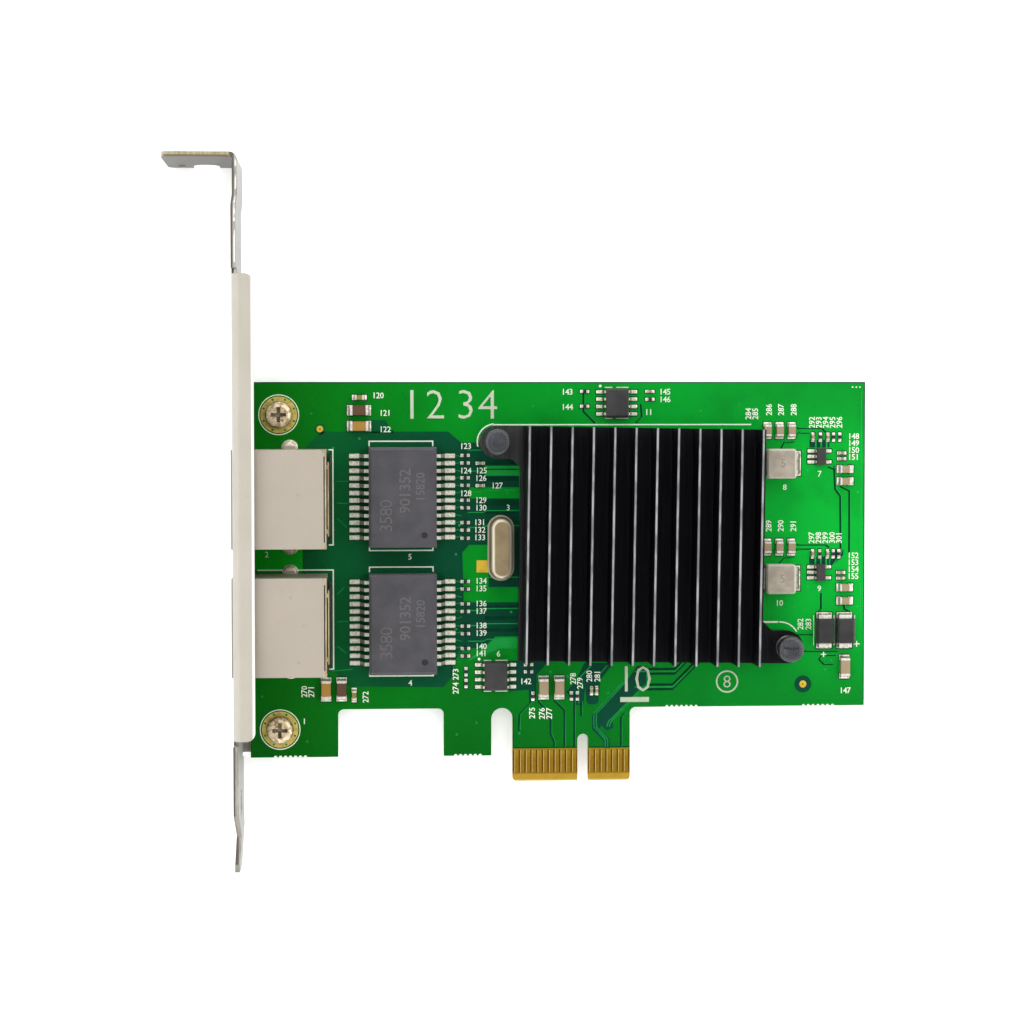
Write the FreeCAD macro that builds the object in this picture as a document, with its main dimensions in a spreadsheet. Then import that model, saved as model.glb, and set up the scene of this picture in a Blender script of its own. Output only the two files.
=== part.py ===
import FreeCAD, Part
import math
import os
import Sketcher

# Network interface card with two shielded jacks, a finned heat sink and a full-height bracket.
# Lengths are millimetres and angles are degrees.
# Frame: the origin is the middle of the key notch at the tip of the edge connector, halfway through
# the board. +X runs along the card away from the bracket, +Y runs up the card away from the
# connector, and +Z points out of the component side.

SIZES = [
    # The board
    ("board_thick", 1.6, "thickness of the board"),
    ("left_reach", 57.2, "key notch to the edge at the bracket"),
    ("right_reach", 49.1, "key notch to the far edge"),
    ("board_height", 68.9, "connector tip to the top edge"),
    ("shoulder_height", 12.7, "connector tip to the lower edge beside the connector"),
    ("foot_height", 4.5, "connector tip to the lower edge of both feet"),
    ("left_foot_width", 15.0, "foot under the bracket screw"),
    ("mid_foot_left", 24.05, "key notch to the far side of the middle foot"),
    ("mid_foot_right", 15.85, "key notch to the near side of the middle foot"),
    ("tongue_left", 12.15, "key notch to the bracket side of the connector"),
    ("tongue_right", 8.15, "key notch to the other side of the connector"),
    ("key_width", 1.9, "width of the key notch"),
    ("key_depth", 8.1, "depth of the key notch to the top of its round end"),
    ("inner_corner", 1.0, "radius of the inner corners of the outline"),
    ("tongue_corner", 0.6, "radius of the outer corners of the connector"),
    ("bevel_rise", 1.2, "height of the lead-in bevel on the connector"),
    ("bevel_depth", 0.35, "depth of the lead-in bevel on each face"),
    ("bite_radius", 0.3, "radius of the scallops left by the break-off tabs"),
    ("bite_pitch", 0.85, "spacing of those scallops"),
    # Edge contacts
    ("finger_pitch", 1.0, "spacing of the edge contacts"),
    ("finger_width", 0.72, "width of an edge contact"),
    ("finger_start", 1.5, "connector tip to the contacts"),
    ("finger_length", 3.9, "length of an edge contact"),
    ("finger_thick", 0.05, "thickness of the plated contact"),
    ("finger_first", 1.5, "key notch to the first contact on each side"),
    # Bracket
    ("sheet_thick", 0.86, "thickness of the bracket sheet"),
    ("plate_gap", 1.34, "board edge to the inner face of the bracket"),
    ("bracket_height", 120.02, "top of the tab to the toe of the bracket"),
    ("bracket_width", 18.42, "width of the bracket plate"),
    ("tip_drop", 13.6, "toe of the bracket below the connector tip"),
    ("solder_drop", 2.6, "middle of the board to the solder-side edge of the bracket"),
    ("tab_length", 11.43, "reach of the screw tab from the outer face"),
    ("bend_radius", 0.5, "inside radius of the bends"),
    ("joggle", 0.25, "inward step of the plate near the tab"),
    ("joggle_below", 6.9, "top of the tab to the upper end of the step"),
    ("joggle_run", 1.9, "length of the step"),
    ("toe_start", 3.3, "first bend of the toe below the connector tip"),
    ("toe_run", 3.6, "length between the two bends of the toe"),
    ("toe_shift", 0.3, "inward shift between the two bends"),
    ("toe_back", 0.1, "outward shift at the end of the toe"),
    ("toe_width", 10.19, "width of the toe"),
    ("taper_start", 3.2, "start of the taper below the connector tip"),
    ("toe_corner", 1.6, "corner cut of the toe"),
    ("toe_hole_drop", 2.35, "centre of the toe hole below the connector tip"),
    ("toe_hole_radius", 2.3, "radius of the toe hole"),
    ("tab_notch_width", 4.42, "width of the screw notch in the tab"),
    ("tab_notch_depth", 4.9, "depth of the screw notch"),
    ("tab_notch_out", 4.85, "outer face to the middle of the screw notch"),
    ("tab_hole_out", 8.9, "outer face to the small hole of the tab"),
    ("tab_hole_rise", 3.6, "solder-side edge to the small hole of the tab"),
    ("tab_hole_radius", 1.0, "radius of the small hole of the tab"),
    ("tab_corner", 1.2, "corner radius of the tab"),
    ("flange_reach", 3.65, "outer face to the free edge of the stiffening flange"),
    ("flange_low", 9.15, "connector tip to the lower end of the flange"),
    ("flange_below", 19.9, "top of the tab to the upper end of the flange"),
    ("flange_corner", 1.5, "corner radius of the flange"),
    ("fold_web", 0.01, "least plate left between a jack window and the fold of the flange"),
    ("relief_width", 0.9, "width of the bend reliefs"),
    ("relief_depth", 1.5, "depth of the bend reliefs past the fold"),
    ("ear_width", 8.0, "width of the screw ears"),
    ("ear_beyond", 3.95, "screw axis to the free end of its ear"),
    ("ear_corner", 1.5, "corner radius of the ears"),
    ("collar_wall", 0.63, "wall of the collar round a tapped hole"),
    ("collar_drop", 0.5, "depth of that collar"),
    # Bracket screws
    ("screw_inset", 5.05, "board edge to the screw axes"),
    ("screw_low", 9.3, "connector tip to the lower screw"),
    ("screw_high", 5.85, "side of the upper jack to the upper screw"),
    ("screw_radius", 1.5, "shank of the bracket screws"),
    ("screw_head", 2.35, "head radius of the bracket screws"),
    ("screw_head_rise", 1.7, "head height of the bracket screws"),
    ("screw_head_round", 0.6, "part of the head height taken by its round"),
    ("screw_length", 3.0, "length of the bracket screws under the head"),
    ("screw_clearance", 0.25, "clearance of a screw in the board"),
    ("thread_clearance", 0.02, "clearance of a screw in its tapped hole"),
    ("recess_width", 0.62, "width of a slot of the cross recess"),
    ("recess_span", 2.6, "span of the cross recess"),
    ("recess_depth", 1.0, "depth of the cross recess"),
    # Jacks
    ("jack_low", 27.85, "connector tip to the middle of the lower jack"),
    ("jack_pitch", 21.35, "spacing of the jacks"),
    ("jack_width", 16.5, "width of a jack shield"),
    ("jack_rise", 13.4, "height of a jack over the board"),
    ("jack_depth", 15.75, "front to back of a jack"),
    ("jack_proud", 0.25, "front of a jack past the outer face of the bracket"),
    ("window_clearance", 0.25, "clearance of a jack in its bracket window"),
    ("shield_wall", 0.3, "sheet of the jack shield"),
    ("shield_clearance", 0.05, "clearance of the housing in its shield"),
    ("peg_back", 9.35, "front of a jack to its board pegs"),
    ("peg_width", 1.6, "width of a board peg"),
    ("peg_out", 0.5, "side of a jack to the outer face of its board pegs"),
    ("peg_foot", 0.3, "board to the underside of the step above a peg"),
    ("pin_below", 0.9, "pins and pegs past the solder side"),
    ("peg_hole_radius", 1.0, "board hole of a peg"),
    ("plug_width", 11.8, "width of the plug cavity"),
    ("plug_floor", 2.6, "board to the floor of the plug cavity"),
    ("plug_height", 7.0, "height of the plug cavity"),
    ("plug_depth", 12.0, "depth of the plug cavity"),
    ("latch_width", 6.4, "width of the latch channel"),
    ("latch_roof", 1.1, "roof of a jack to the top of the latch channel"),
    ("latch_depth", 8.0, "depth of the latch channel"),
    ("wire_side_gap", 0.4, "contact wires to the sides of their channel"),
    ("wire_floor", 1.1, "board to the floor of that channel"),
    ("wire_end_room", 0.8, "channel past each end of the contact wires"),
    ("wire_over_room", 0.3, "channel over the lower run of the contact wires"),
    ("window_margin", 0.2, "shield window past the plug cavity"),
    # Jack contacts
    ("wire_count", 8, "contact wires of a jack"),
    ("wire_pitch", 1.02, "spacing of the contact wires"),
    ("wire_width", 0.45, "width of a contact wire"),
    ("wire_thick", 0.35, "thickness of a contact wire"),
    ("wire_rise", 1.3, "board to the underside of the lower run"),
    ("wire_front", 3.0, "front of the jack to the bend of a wire"),
    ("wire_tip", 9.6, "front of the jack to the free end of a wire"),
    ("wire_lift", 4.5, "board to the free end of a wire"),
    ("tail_inset", 3.05, "back of the jack to the front row of tails"),
    ("tail_step", 1.8, "spacing of the two rows of tails"),
    ("tail_hole_radius", 0.4, "board hole of a tail"),
    # Jack lights
    ("lamp_width", 2.9, "width of a jack light"),
    ("lamp_height", 2.3, "height of a jack light"),
    ("lamp_inset", 2.2, "side of a jack to the middle of a light"),
    ("lamp_drop", 0.8, "roof of a jack to the top of a light"),
    ("lamp_depth", 14.0, "length of a light and its guide"),
    ("lamp_clearance", 0.1, "clearance of a light in the housing"),
    ("lamp_past_end", 0.9, "bore of a light past its length"),
    ("lamp_leg", 0.5, "thickness of a light's legs"),
    ("lamp_leg_inset", 1.1, "side of a jack to the legs of a light"),
    # Transformers
    ("trans_inset", 26.1, "board edge to the middle of the transformers"),
    ("trans_low", 27.65, "connector tip to the middle of the lower transformer"),
    ("trans_pitch", 21.6, "spacing of the transformers"),
    ("trans_width", 11.5, "width of a transformer body"),
    ("trans_length", 17.0, "length of a transformer body"),
    ("trans_rise", 6.0, "height of a transformer over the board"),
    ("trans_standoff", 0.3, "gap under a transformer body"),
    ("trans_edge", 0.45, "edge chamfer of a transformer body"),
    ("trans_reach", 3.3, "transformer side to the tips of its leads"),
    ("trans_leads", 12, "leads on each side of a transformer"),
    ("trans_lead_pitch", 1.27, "spacing of the transformer leads"),
    ("trans_lead_width", 0.6, "width of a transformer lead"),
    ("trans_lead_thick", 0.25, "thickness of a transformer lead"),
    ("trans_lead_exit", 2.6, "board to the top of a lead at the body"),
    ("trans_lead_foot", 1.7, "flat foot of a transformer lead"),
    ("trans_lead_shoulder", 0.8, "flat shoulder of a transformer lead"),
    ("dimple_radius", 0.55, "radius of the pin-one dimple"),
    ("dimple_depth", 0.15, "depth of the pin-one dimple"),
    ("dimple_inset", 2.1, "body edges to the pin-one dimple"),
    # Eight-lead memory chips
    ("memory_width", 3.9, "width of a memory chip"),
    ("memory_length", 4.9, "length of a memory chip"),
    ("memory_rise", 1.6, "height of a memory chip over the board"),
    ("memory_standoff", 0.15, "gap under a memory chip"),
    ("memory_edge", 0.25, "edge chamfer of a memory chip"),
    ("memory_reach", 1.35, "memory chip side to the tips of its leads"),
    ("memory_leads", 4, "leads on each side of a memory chip"),
    ("memory_lead_pitch", 1.27, "spacing of the memory chip leads"),
    ("memory_lead_width", 0.45, "width of a memory chip lead"),
    ("memory_lead_thick", 0.2, "thickness of a memory chip lead"),
    ("memory_lead_exit", 0.95, "board to the top of a lead at the chip"),
    ("memory_lead_foot", 0.7, "flat foot of a memory chip lead"),
    ("memory_lead_shoulder", 0.25, "flat shoulder of a memory chip lead"),
    # Voltage regulators
    ("regulator_width", 1.6, "width of a regulator body"),
    ("regulator_length", 2.9, "length of a regulator body"),
    ("regulator_rise", 1.15, "height of a regulator over the board"),
    ("regulator_standoff", 0.1, "gap under a regulator"),
    ("regulator_edge", 0.15, "edge chamfer of a regulator"),
    ("regulator_reach", 0.8, "regulator side to the tips of its leads"),
    ("regulator_lead_pitch", 0.95, "spacing of the three regulator leads"),
    ("regulator_lead_width", 0.4, "width of a regulator lead"),
    ("regulator_lead_thick", 0.15, "thickness of a regulator lead"),
    ("regulator_lead_exit", 0.65, "board to the top of a lead at the regulator"),
    ("regulator_lead_foot", 0.45, "flat foot of a regulator lead"),
    ("regulator_lead_shoulder", 0.15, "flat shoulder of a regulator lead"),
    # Power inductors
    ("coil_width", 5.1, "side of an inductor"),
    ("coil_rise", 3.0, "height of an inductor over the board"),
    ("coil_standoff", 0.25, "gap under an inductor"),
    ("coil_corner", 0.5, "corner radius of an inductor"),
    ("coil_edge", 0.3, "upper edge chamfer of an inductor"),
    ("coil_pad_width", 3.6, "width of an inductor terminal"),
    ("coil_pad_reach", 0.9, "terminal past the side of an inductor"),
    ("coil_pad_under", 1.2, "terminal under the inductor"),
    ("coil_pad_rise", 1.3, "height of a terminal on the side"),
    # Diodes
    ("diode_width", 3.0, "width of a diode body"),
    ("diode_length", 4.3, "length of a diode body"),
    ("diode_rise", 2.2, "height of a diode over the board"),
    ("diode_standoff", 0.25, "gap under a diode"),
    ("diode_edge", 0.3, "edge chamfer of a diode"),
    ("diode_reach", 0.65, "diode end to the outside of its terminal"),
    ("diode_pad_width", 2.2, "width of a diode terminal"),
    ("diode_pad_thick", 0.2, "thickness of a diode terminal"),
    ("diode_pad_rise", 1.3, "board to the top of a diode terminal"),
    ("diode_pad_under", 1.2, "terminal under the diode"),
    # Chip capacitors and resistors, named by their length in hundredths of an inch
    ("large_length", 3.2, "length of a 1206 chip"),
    ("large_width", 1.6, "width of a 1206 chip"),
    ("large_rise", 1.25, "height of a 1206 chip"),
    ("medium_length", 2.0, "length of an 0805 chip"),
    ("medium_width", 1.25, "width of an 0805 chip"),
    ("medium_rise", 1.0, "height of an 0805 chip"),
    ("small_length", 1.6, "length of an 0603 chip"),
    ("small_width", 0.8, "width of an 0603 chip"),
    ("small_rise", 0.8, "height of an 0603 chip"),
    ("tiny_length", 1.0, "length of an 0402 chip"),
    ("tiny_width", 0.5, "width of an 0402 chip"),
    ("tiny_rise", 0.5, "height of an 0402 capacitor"),
    ("tiny_resistor_rise", 0.35, "height of an 0402 resistor"),
    # Crystal
    ("crystal_left", 14.2, "key notch to the middle of the crystal, towards the bracket"),
    ("crystal_height", 40.4, "connector tip to the middle of the crystal"),
    ("crystal_length", 11.3, "length of the crystal flange"),
    ("crystal_width", 4.55, "width of the crystal flange"),
    ("crystal_flange", 0.4, "thickness of each of the two welded flanges"),
    ("crystal_step", 0.45, "flange past the can"),
    ("crystal_rise", 3.6, "height of the can over the flange"),
    ("crystal_wall", 0.25, "wall of the can"),
    ("crystal_round", 0.8, "edge radius of the can"),
    ("crystal_lead_spacing", 4.88, "spacing of the crystal leads"),
    ("crystal_lead_radius", 0.22, "radius of a crystal lead"),
    ("crystal_hole_radius", 0.35, "board hole of a crystal lead"),
    # Controller, thermal pad and heat sink
    ("chip_side", 17.0, "side of the controller chip"),
    ("chip_rise", 1.3, "height of the controller chip over the board"),
    ("chip_edge", 0.2, "edge chamfer of the controller chip"),
    ("pad_thick", 0.5, "thickness of the thermal pad"),
    ("sink_left", 9.85, "key notch to the middle of the heat sink"),
    ("sink_height", 40.95, "connector tip to the middle of the heat sink"),
    ("sink_turn", -0.9, "turn of the heat sink on its pins"),
    ("sink_width", 42.0, "width of the heat sink base"),
    ("sink_depth", 40.1, "length of the heat sink along its fins"),
    ("sink_base", 2.6, "thickness of the heat sink base"),
    ("fin_count", 12, "fins of the heat sink"),
    ("fin_inset", 1.05, "side of the base to the first fin of a centred row"),
    ("fin_shift", -0.3, "middle of the base to the middle of the row of fins"),
    ("fin_thick", 0.4, "thickness of a fin"),
    ("fin_rise", 6.8, "height of a fin over the base"),
    ("lug_reach", 4.25, "side of the base to the pin axis"),
    ("lug_radius", 2.8, "outer radius of a pin lug"),
    ("lug_web", 1.6, "slanted web between a lug and the base"),
    # Push pins
    ("pin_radius", 1.45, "shank of a push pin"),
    ("pin_clearance", 0.15, "clearance of a push pin in lug and board"),
    ("pin_head_radius", 2.25, "head of a push pin"),
    ("pin_head_rise", 1.6, "height of the head"),
    ("pin_head_round", 0.7, "edge radius of the head"),
    ("pin_barb_radius", 1.95, "widest part of the barb"),
    ("pin_tip_radius", 1.0, "end of the barb"),
    ("pin_slit", 0.7, "slit between the legs of the barb"),
    ("spring_rise", 2.9, "length of the compressed spring"),
    ("spring_wire", 0.2, "radius of the spring wire"),
    ("spring_radius", 1.85, "mean radius of the spring"),
    ("spring_turns", 3, "turns of the spring"),
]

# Chips by the text beside them: anchor, distance right of it, height over the connector tip, and
# whether the chip lies along the board or stands across it. The anchors are the board's edge at the
# bracket (port), the key notch (key) and the far edge (supply).
LARGE_CAPACITORS = [
    ("port", 18.75, 64.05, "along"),
    ("port", 18.75, 61.35, "along"),
    ("port", 12.95, 16.15, "across"),
    ("port", 15.6, 16.15, "across"),
    ("key", -6.8, 16.2, "across"),
    ("key", -4.1, 16.2, "across"),
    ("supply", -3.45, 19.45, "across"),
]
MEDIUM_CAPACITORS = [
    ("supply", -17.05, 60.5, "across"),
    ("supply", -14.95, 60.5, "across"),
    ("supply", -12.85, 60.5, "across"),
    ("supply", -17.05, 40.3, "across"),
    ("supply", -14.95, 40.3, "across"),
    ("supply", -12.85, 40.3, "across"),
    ("supply", -3.45, 53.8, "along"),
    ("supply", -3.45, 51.7, "along"),
    ("supply", -3.45, 33.25, "along"),
    ("supply", -3.45, 30.95, "along"),
]
SMALL_CAPACITORS = [
    ("port", 18.8, 66.25, "along"),
    ("port", 17.75, 15.15, "across"),
]
TINY_CAPACITORS = [
    ("key", -17.7, 54.95, "along"),
    ("key", -17.7, 51.1, "along"),
    ("key", 1.5, 15.6, "across"),
    ("key", 2.4, 15.6, "across"),
    ("key", 11.6, 67.25, "along"),
    ("supply", -9.1, 59.35, "across"),
    ("supply", -6.5, 59.35, "across"),
    ("supply", -9.1, 39.1, "across"),
    ("supply", -6.5, 39.1, "across"),
    ("supply", -4.05, 56.6, "along"),
    ("supply", -4.05, 55.6, "along"),
    ("supply", -4.15, 35.85, "along"),
    ("supply", -4.15, 34.85, "along"),
]
TINY_RESISTORS = [
    ("key", -20.2, 19.05, "across"),
    ("key", -20.2, 17.0, "across"),
    ("key", -9.4, 20.2, "along"),
    ("key", -9.4, 18.95, "along"),
    ("key", -8.65, 14.7, "across"),
    ("key", -2.0, 14.7, "across"),
    ("key", -0.95, 14.7, "across"),
    ("key", 0.3, 67.25, "along"),
    ("key", 0.3, 64.7, "along"),
    ("key", 11.6, 65.9, "along"),
    ("supply", -7.8, 59.35, "across"),
    ("supply", -5.5, 59.35, "across"),
    ("supply", -4.4, 59.35, "across"),
    ("supply", -7.85, 39.1, "across"),
    ("supply", -5.5, 39.1, "across"),
    ("supply", -4.5, 39.1, "across"),
]
# Two columns of resistor pairs close the transformer pairs: the lowest chip of each column.
PAIR_COLUMNS = [("key", -20.3, 21.75, 4), ("key", -20.3, 43.45, 4)]
PAIR_PITCH = 3.85
PAIR_GAP = 1.3
EXTRA_RESISTOR = ("key", -20.3, 42.05, "along")

MEMORY_CHIPS = {"flash_chip": (-15.1, 18.3), "settings_chip": (5.85, 65.3)}
REGULATORS = {"regulator_upper": (-7.75, 56.0), "regulator_lower": (-7.75, 35.9)}
COILS = {"inductor_upper": (-15.0, 54.8), "inductor_lower": (-15.05, 34.9)}
DIODES = {"diode_inner": (-7.05, 25.8), "diode_outer": (-3.5, 25.8)}
# Where the panel was snapped out of its frame: edge, middle of the run, and number of scallops
BREAK_OFFS = [("foot_height", "port", 6.8, 7), ("shoulder_height", "key", 17.2, 7),
              ("shoulder_height", "supply", -8.0, 7), ("foot_height", "key", -19.9, 6)]

doc = FreeCAD.newDocument("network_interface_card")
sheet = doc.addObject("Spreadsheet::Sheet", "Sizes")
for row, (alias, number, meaning) in enumerate(SIZES, start=1):
    sheet.set(f"A{row}", meaning)
    sheet.set(f"B{row}", str(number))
    sheet.setAlias(f"B{row}", alias)
doc.recompute()

ANCHORS = {"port": "-Sizes.left_reach", "key": "0", "supply": "Sizes.right_reach"}
TOP = "Sizes.board_thick / 2"
BOTTOM = "-Sizes.board_thick / 2"
PLATE_IN = "-Sizes.left_reach - Sizes.plate_gap"
PLATE_OUT = f"{PLATE_IN} - Sizes.sheet_thick"
PLATE_FRONT = "Sizes.bracket_width - Sizes.solder_drop"
TAB_TOP = "Sizes.bracket_height - Sizes.tip_drop"
FLANGE_HIGH = f"{TAB_TOP} - Sizes.flange_below"
EAR_UNDER = f"{BOTTOM} - Sizes.sheet_thick"
SCREW_AXIS = "-Sizes.left_reach + Sizes.screw_inset"
JACK_FRONT = f"{PLATE_OUT} - Sizes.jack_proud"
JACKS = {"lower": "Sizes.jack_low", "upper": "Sizes.jack_low + Sizes.jack_pitch"}
TRANSFORMERS = {"lower": "Sizes.trans_low", "upper": "Sizes.trans_low + Sizes.trans_pitch"}
SCREWS = {"lower": "Sizes.screw_low",
          "upper": "Sizes.jack_low + Sizes.jack_pitch + Sizes.jack_width / 2 + Sizes.screw_high"}
WINDOW_HIGH = f"{TOP} + Sizes.jack_rise + Sizes.window_clearance"
FLANGE_FOLD = ("min(Sizes.bend_radius + Sizes.sheet_thick;"
               f" {PLATE_FRONT} - ({WINDOW_HIGH}) - Sizes.fold_web)")
SINK_UNDER = f"{TOP} + Sizes.chip_rise + Sizes.pad_thick"
LAMP_SIDE = "(Sizes.jack_width / 2 - Sizes.lamp_inset)"
LAMP_LEG_SIDE = "(Sizes.jack_width / 2 - Sizes.lamp_leg_inset)"
LAMP_RISE = "(Sizes.jack_rise - Sizes.lamp_drop - Sizes.lamp_height)"
TAILS = "Sizes.jack_depth - Sizes.tail_inset"
WIRE_CHANNEL = ("((Sizes.wire_count - 1) * Sizes.wire_pitch + Sizes.wire_width"
                " + 2 * Sizes.wire_side_gap)")
LUG_X = "(Sizes.sink_width / 2 + Sizes.lug_reach)"
FIN_PITCH = ("((Sizes.sink_width - 2 * Sizes.fin_inset - Sizes.fin_thick)"
             " / (Sizes.fin_count - 1))")
LUG_Y = "(Sizes.sink_depth / 2 - Sizes.lug_radius)"
PIN_RISE = f"{SINK_UNDER} + Sizes.sink_base + Sizes.spring_rise"
PINS = {"upper": -1, "lower": 1}
# How far a cutting shape runs past the face it opens
PAST = 1


def pin_axis(side):
    """The board position of a push pin: the heat sink's lug, turned with the heat sink."""
    turned_x = f"({LUG_X} * cos(Sizes.sink_turn) + {LUG_Y} * sin(Sizes.sink_turn))"
    turned_y = f"({LUG_X} * sin(Sizes.sink_turn) - {LUG_Y} * cos(Sizes.sink_turn))"
    return (f"Sizes.sink_left + {side} * {turned_x}", f"Sizes.sink_height + {side} * {turned_y}")


def size(alias):
    """A driving size, read from the sheet."""
    return float(getattr(sheet, alias))


def value(expression):
    """The number that an expression of driving sizes comes to."""
    return float(sheet.evalExpression(expression))


def bind(item, **expressions):
    """Tie properties of an object to the sheet."""
    for name, expression in expressions.items():
        item.setExpression(name, expression)


def place(item, x="0", y="0", z="0", turn=None):
    """Put an object at a point of the card, turned about +Z when a turn is given."""
    for axis, expression in (("x", x), ("y", y), ("z", z)):
        item.setExpression(f"Placement.Base.{axis}", expression)
    if turn:
        item.Placement.Rotation = FreeCAD.Rotation(FreeCAD.Vector(0, 0, 1), 1)
        item.setExpression("Placement.Rotation.Angle", turn)


def new_body(label):
    body = doc.addObject("PartDesign::Body", label)
    body.Label = label
    body.AllowCompound = True
    return body


def origin_part(body, role):
    """A plane or axis of the body's own origin."""
    return next(item for item in body.Origin.OriginFeatures if item.Role == role)


def new_sketch(body, plane, offset="0"):
    """A sketch on one of the body's origin planes, moved along the plane's normal."""
    sketch = body.newObject("Sketcher::SketchObject", f"{body.Label}_outline")
    sketch.AttachmentSupport = [(origin_part(body, plane), "")]
    sketch.MapMode = "FlatFace"
    sketch.setExpression("AttachmentOffset.Base.z", offset)
    return sketch


def pin_point(sketch, geometry, vertex, x, y):
    """Hold a point of a sketch at two driven distances from the sketch's origin."""
    for kind, expression in (("DistanceX", x), ("DistanceY", y)):
        index = sketch.addConstraint(
            Sketcher.Constraint(kind, -1, 1, geometry, vertex, value(expression)))
        sketch.setExpression(f"Constraints[{index}]", expression)


def draw_polygon(sketch, points):
    """A closed outline through points given as pairs of expressions."""
    corners = [FreeCAD.Vector(value(x), value(y), 0) for x, y in points]
    first = sketch.GeometryCount
    for start, end in zip(corners, corners[1:] + corners[:1]):
        sketch.addGeometry(Part.LineSegment(start, end))
    for index, (x, y) in enumerate(points):
        after = first + (index + 1) % len(points)
        sketch.addConstraint(Sketcher.Constraint("Coincident", first + index, 2, after, 1))
        pin_point(sketch, first + index, 1, x, y)


def draw_rectangle(sketch, left, right, low, high):
    draw_polygon(sketch, [(left, low), (right, low), (right, high), (left, high)])


def draw_centred(sketch, width, height):
    draw_rectangle(sketch, f"-({width}) / 2", f"({width}) / 2", f"-({height}) / 2", f"({height}) / 2")


def draw_circle(sketch, x, y, radius):
    circle = Part.Circle(FreeCAD.Vector(value(x), value(y), 0), FreeCAD.Vector(0, 0, 1), value(radius))
    geometry = sketch.addGeometry(circle)
    index = sketch.addConstraint(Sketcher.Constraint("Radius", geometry, value(radius)))
    sketch.setExpression(f"Constraints[{index}]", radius)
    pin_point(sketch, geometry, 3, x, y)


def draw_stadium(sketch, length, width):
    """A centred outline with full-radius ends, long along the sketch's vertical."""
    radius = value(width) / 2
    reach = (value(length) - value(width)) / 2
    normal = FreeCAD.Vector(0, 0, 1)
    ends = []
    for side, first_angle in ((1, 0.0), (-1, math.pi)):
        circle = Part.Circle(FreeCAD.Vector(0, side * reach, 0), normal, radius)
        ends.append(sketch.addGeometry(Part.ArcOfCircle(circle, first_angle, first_angle + math.pi)))
    left = sketch.addGeometry(Part.LineSegment(FreeCAD.Vector(-radius, reach, 0),
                                               FreeCAD.Vector(-radius, -reach, 0)))
    right = sketch.addGeometry(Part.LineSegment(FreeCAD.Vector(radius, -reach, 0),
                                                FreeCAD.Vector(radius, reach, 0)))
    upper, lower = ends
    for one, one_end, other, other_end in ((upper, 2, left, 1), (left, 2, lower, 1),
                                           (lower, 2, right, 1), (right, 2, upper, 1)):
        sketch.addConstraint(Sketcher.Constraint("Tangent", one, one_end, other, other_end))
    index = sketch.addConstraint(Sketcher.Constraint("Radius", upper, radius))
    sketch.setExpression(f"Constraints[{index}]", f"({width}) / 2")
    pin_point(sketch, upper, 3, "0", f"(({length}) - ({width})) / 2")
    pin_point(sketch, lower, 3, "0", f"-(({length}) - ({width})) / 2")


def pad(body, sketch, length, symmetric=False, reverse=False):
    feature = body.newObject("PartDesign::Pad", f"{body.Label}_pad")
    feature.Profile = sketch
    feature.setExpression("Length", length)
    feature.Midplane = symmetric
    feature.Reversed = reverse
    body.Tip = feature
    doc.recompute()
    return feature


def pocket(body, sketch, depth=None, reverse=False):
    """Cut a sketch through the whole body, or to a depth on one side of the sketch."""
    before = body.Shape.Volume
    feature = body.newObject("PartDesign::Pocket", f"{body.Label}_cut")
    feature.Profile = sketch
    if depth is None:
        feature.Type = "ThroughAll"
        feature.Midplane = True
    else:
        feature.setExpression("Length", depth)
        feature.Reversed = reverse
    body.Tip = feature
    doc.recompute()
    if not body.Shape.Volume < before:
        raise RuntimeError(f"{feature.Label} cuts nothing")
    return feature


def row(body, feature, role, spacing, count):
    """Repeat a feature along an axis of the body."""
    pattern = body.newObject("PartDesign::LinearPattern", f"{body.Label}_row")
    pattern.Originals = [feature]
    pattern.Direction = (origin_part(body, role), [""])
    pattern.setExpression("Length", f"({spacing}) * ({count} - 1)")
    pattern.setExpression("Occurrences", count)
    body.Tip = pattern
    doc.recompute()
    return pattern


def edge_names(body, **where):
    """Edges lying in a box. Each of x, y and z is one value or a (low, high) pair."""
    tolerance = 1e-3
    names = []
    for number, edge in enumerate(body.Shape.Edges, start=1):
        box = edge.BoundBox
        spans = {"x": (box.XMin, box.XMax), "y": (box.YMin, box.YMax), "z": (box.ZMin, box.ZMax)}
        inside = True
        for axis, limit in where.items():
            low, high = limit if isinstance(limit, tuple) else (limit, limit)
            inside = inside and spans[axis][0] > low - tolerance and spans[axis][1] < high + tolerance
        if inside:
            names.append(f"Edge{number}")
    if not names:
        raise RuntimeError(f"{body.Label} has no edge in {where}")
    return names


def fillet(body, radius, names):
    base = body.Tip
    feature = body.newObject("PartDesign::Fillet", f"{body.Label}_round")
    feature.Base = (base, names)
    feature.setExpression("Radius", radius)
    body.Tip = feature
    doc.recompute()
    return feature


def chamfer(body, depth, names):
    base = body.Tip
    feature = body.newObject("PartDesign::Chamfer", f"{body.Label}_bevel")
    feature.Base = (base, names)
    feature.setExpression("Size", depth)
    body.Tip = feature
    doc.recompute()
    return feature


def block(x, y, z):
    """A box between pairs of expressions for its low and high side on each axis."""
    solid = doc.addObject("Part::Box", "block")
    bind(solid, Length=f"({x[1]}) - ({x[0]})", Width=f"({y[1]}) - ({y[0]})",
         Height=f"({z[1]}) - ({z[0]})")
    place(solid, x[0], y[0], z[0])
    return solid


def fuse(label, solids):
    joined = doc.addObject("Part::MultiFuse", label)
    joined.Shapes = solids
    joined.Refine = True
    joined.Label = label
    return joined


def cut(label, base, tools):
    removed = fuse(f"{label}_openings", tools) if len(tools) > 1 else tools[0]
    result = doc.addObject("Part::Cut", label)
    result.Base = base
    result.Tool = removed
    result.Refine = True
    result.Label = label
    return result


def group(label, solids):
    """Separate solids of one kind in one sub-part."""
    joined = doc.addObject("Part::Compound", label)
    joined.Links = solids
    joined.Label = label
    return joined


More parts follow.
